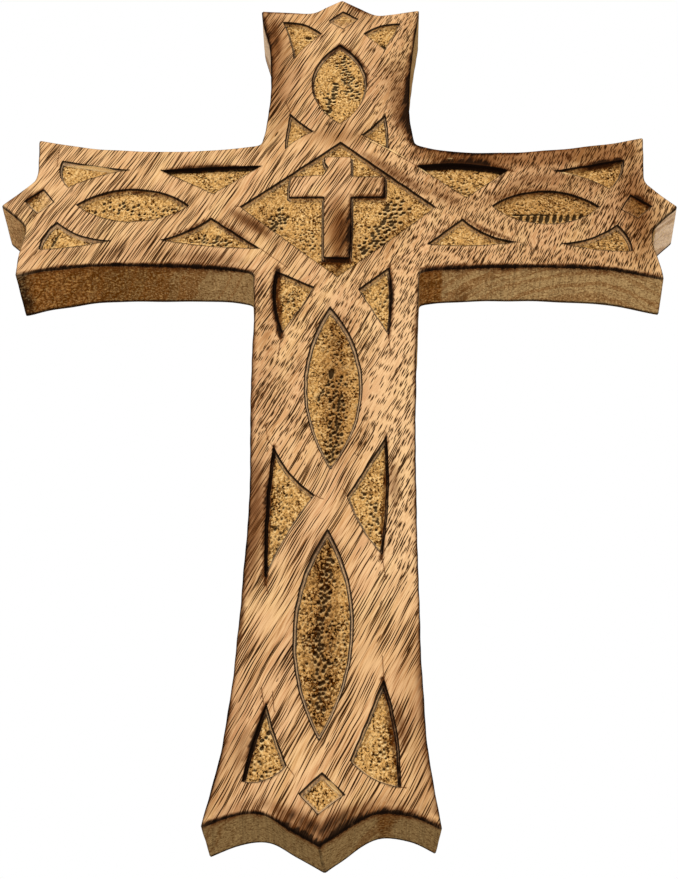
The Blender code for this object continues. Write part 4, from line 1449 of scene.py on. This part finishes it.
        return bench.blend(z.between(-150, -160), colour, self.foot_shade, "MULTIPLY")

    def make(self) -> bpy.types.Material:
        """The whole finish, laid on by the board's attributes."""
        bench = Bench("scorched_mango")
        x, y, z = bench.place()
        face, pores, streaks = self.face(bench, x, y, z)
        floor, specks = self.floor(bench, x, y, z)
        side = self.side(bench, x, y, z)
        sunk, wall = bench.mask(Surface.SUNK), bench.mask(Surface.WALL)
        upper, rim = bench.mask(Surface.UPPER), bench.mask(Surface.RIM)
        edge, knife = bench.mask(Surface.EDGE), bench.mask(Surface.KNIFE)
        flicker = bench.noise(x / 2.4, y / 2.4, z / 2.4, 2.0)
        # Scorching, with painted shadow under the little cross's post and on the left shaft triangles' walls.
        heat_and_shade = bench.mask(Surface.TORCH_AND_SHADE) * (1 - sunk * (1 - wall) * 0.7)
        heat_and_shade = heat_and_shade * (0.6 + 0.8 * streaks.between(0.35, 0.65))
        # Char and painted shade on walls that face down and in the nail hole.
        gloom = upper * (0.55 + 0.8 * flicker)
        # Pale marks: scratches and chips, and painted highlights along edges.
        pale = bench.mask(Surface.PALE) * (0.3 + 1.3 * flicker)
        colour = bench.coats(
            face,
            (sunk, floor),
            (bench.mask(Surface.SAWN), side),
            (wall * (0.3 + 0.8 * flicker) * (1 - upper * 1.3).most(0.0), self.cut),
        )
        colour = bench.blend(bench.mask(Surface.TONE).least(1.2), colour, self.browning, "MULTIPLY")
        colour = bench.coats(
            colour,
            (heat_and_shade.between(0.05, 0.75) * 0.8, self.brown),
            (heat_and_shade.between(0.5, 1.1) * 0.93, self.char),
            (gloom.between(0.1, 1.0) * 0.22, self.brown),
            (gloom.between(0.85, 1.25) * 0.95, self.char),
            ((rim * (0.5 + flicker)).between(0.15, 0.7) * 0.95, self.char),
            ((edge * (0.6 + 0.8 * flicker)).between(0.4, 0.9) * 0.88, self.char),
            (knife.between(0.2, 0.8) * 0.75, self.brown),
            (pale.between(0.3, 0.9), self.straw),
        )
        relief = specks * sunk * 2.0 + pores * (1 - sunk) * 0.5
        bump_inputs = {"Strength": 0.7, "Distance": 0.0005, "Height": relief}
        bump = bench.node("ShaderNodeBump", {"invert": True}, bump_inputs)
        rough = 0.66 + 0.16 * sunk
        inputs = {"Base Color": colour, "Roughness": rough, "Normal": bump, "Specular IOR Level": 0.0}
        return bench.finish(inputs)


@dataclass(frozen=True)
class Studio:
    """A plain pale room: a floor far below the hung cross, soft light and the photograph's camera."""

    floor_below: float = 1.2
    floor_across: float = 12.0
    floor_paint: Colour = paint(238, 238, 238)
    eye: Place = (0.01387, -0.39110, -0.36047)
    yaw: float = -1.811
    pitch: float = 35.874
    roll: float = 1.349
    lens: float = 67.76
    room_light: float = 0.60
    key_power: float = 17.0
    key_at: Place = (-0.35, -1.1, 1.0)
    key_size: float = 0.9
    fill_power: float = 7.0
    fill_at: Place = (0.2, -0.9, -0.95)
    fill_size: float = 1.2
    lit: Place = (0.0, 0.0, -0.03)

    def floor(self) -> None:
        """Lays the floor."""
        half, z = self.floor_across / 2, -self.floor_below
        mesh = bpy.data.meshes.new("floor")
        corners = [(-half, -half, z), (half, -half, z), (half, half, z), (-half, half, z)]
        mesh.from_pydata(corners, [], [(0, 1, 2, 3)])
        floor = new_object("floor", mesh)
        mesh.materials.append(Bench("pale_floor").finish({"Base Color": self.floor_paint, "Roughness": 0.8}))

    def room(self) -> None:
        """Makes the room's even light, which the camera sees as plain white."""
        world = bpy.data.worlds.new("room")
        bpy.context.scene.world = world
        world.use_nodes = True
        tree = world.node_tree
        tree.nodes.clear()
        path = tree.nodes.new("ShaderNodeLightPath")
        level = tree.nodes.new("ShaderNodeMapRange")
        level.inputs["To Min"].default_value = self.room_light
        level.inputs["To Max"].default_value = 1.0
        light = tree.nodes.new("ShaderNodeBackground")
        light.inputs["Color"].default_value = (1.0, 1.0, 1.0, 1.0)
        out = tree.nodes.new("ShaderNodeOutputWorld")
        tree.links.new(path.outputs["Is Camera Ray"], level.inputs["Value"])
        tree.links.new(level.outputs["Result"], light.inputs["Strength"])
        tree.links.new(light.outputs["Background"], out.inputs["Surface"])

    def lamp(self, name: str, at: Place, size: float, power: float) -> None:
        """Hangs a square lamp that faces the middle of the cross."""
        light = bpy.data.lights.new(name, "AREA")
        light.shape = "SQUARE"
        light.size = size
        light.energy = power
        lamp = new_object(name, light)
        lamp.location = at
        lamp.rotation_euler = (Vector(self.lit) - Vector(at)).to_track_quat("-Z", "Y").to_euler()

    def camera(self) -> None:
        """Sets the camera where the photograph's was: below the cross, looking up at it."""
        yaw, pitch, roll = (math.radians(a) for a in (self.yaw, self.pitch, self.roll))
        ahead = Vector((math.sin(yaw) * math.cos(pitch), math.cos(yaw) * math.cos(pitch), math.sin(pitch)))
        level = Vector((math.cos(yaw), -math.sin(yaw), 0))
        upright = level.cross(ahead)
        right = math.cos(roll) * level + math.sin(roll) * upright
        up = math.cos(roll) * upright - math.sin(roll) * level
        data = bpy.data.cameras.new("camera")
        data.lens = self.lens
        camera = new_object("camera", data)
        camera.matrix_world = Matrix.Translation(self.eye) @ Matrix((right, up, -ahead)).transposed().to_4x4()
        data.clip_start, data.clip_end = 0.01, 50
        bpy.context.scene.camera = camera

    def build(self) -> None:
        """Sets up the whole studio."""
        self.floor()
        self.room()
        self.lamp("key_lamp", self.key_at, self.key_size, self.key_power)
        self.lamp("fill_lamp", self.fill_at, self.fill_size, self.fill_power)
        self.camera()
        bpy.context.scene.view_settings.view_transform = "Standard"
        log.info("studio: floor, room light, key and fill lamps, camera")


def main() -> None:
    logging.basicConfig(level=logging.INFO, format="%(name)s: %(message)s")
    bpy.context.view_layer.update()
    board = Board(Outline()).build()
    board.data.materials.append(ScorchedMango().make())
    Studio().build()


if __name__ == "__main__":
    main()
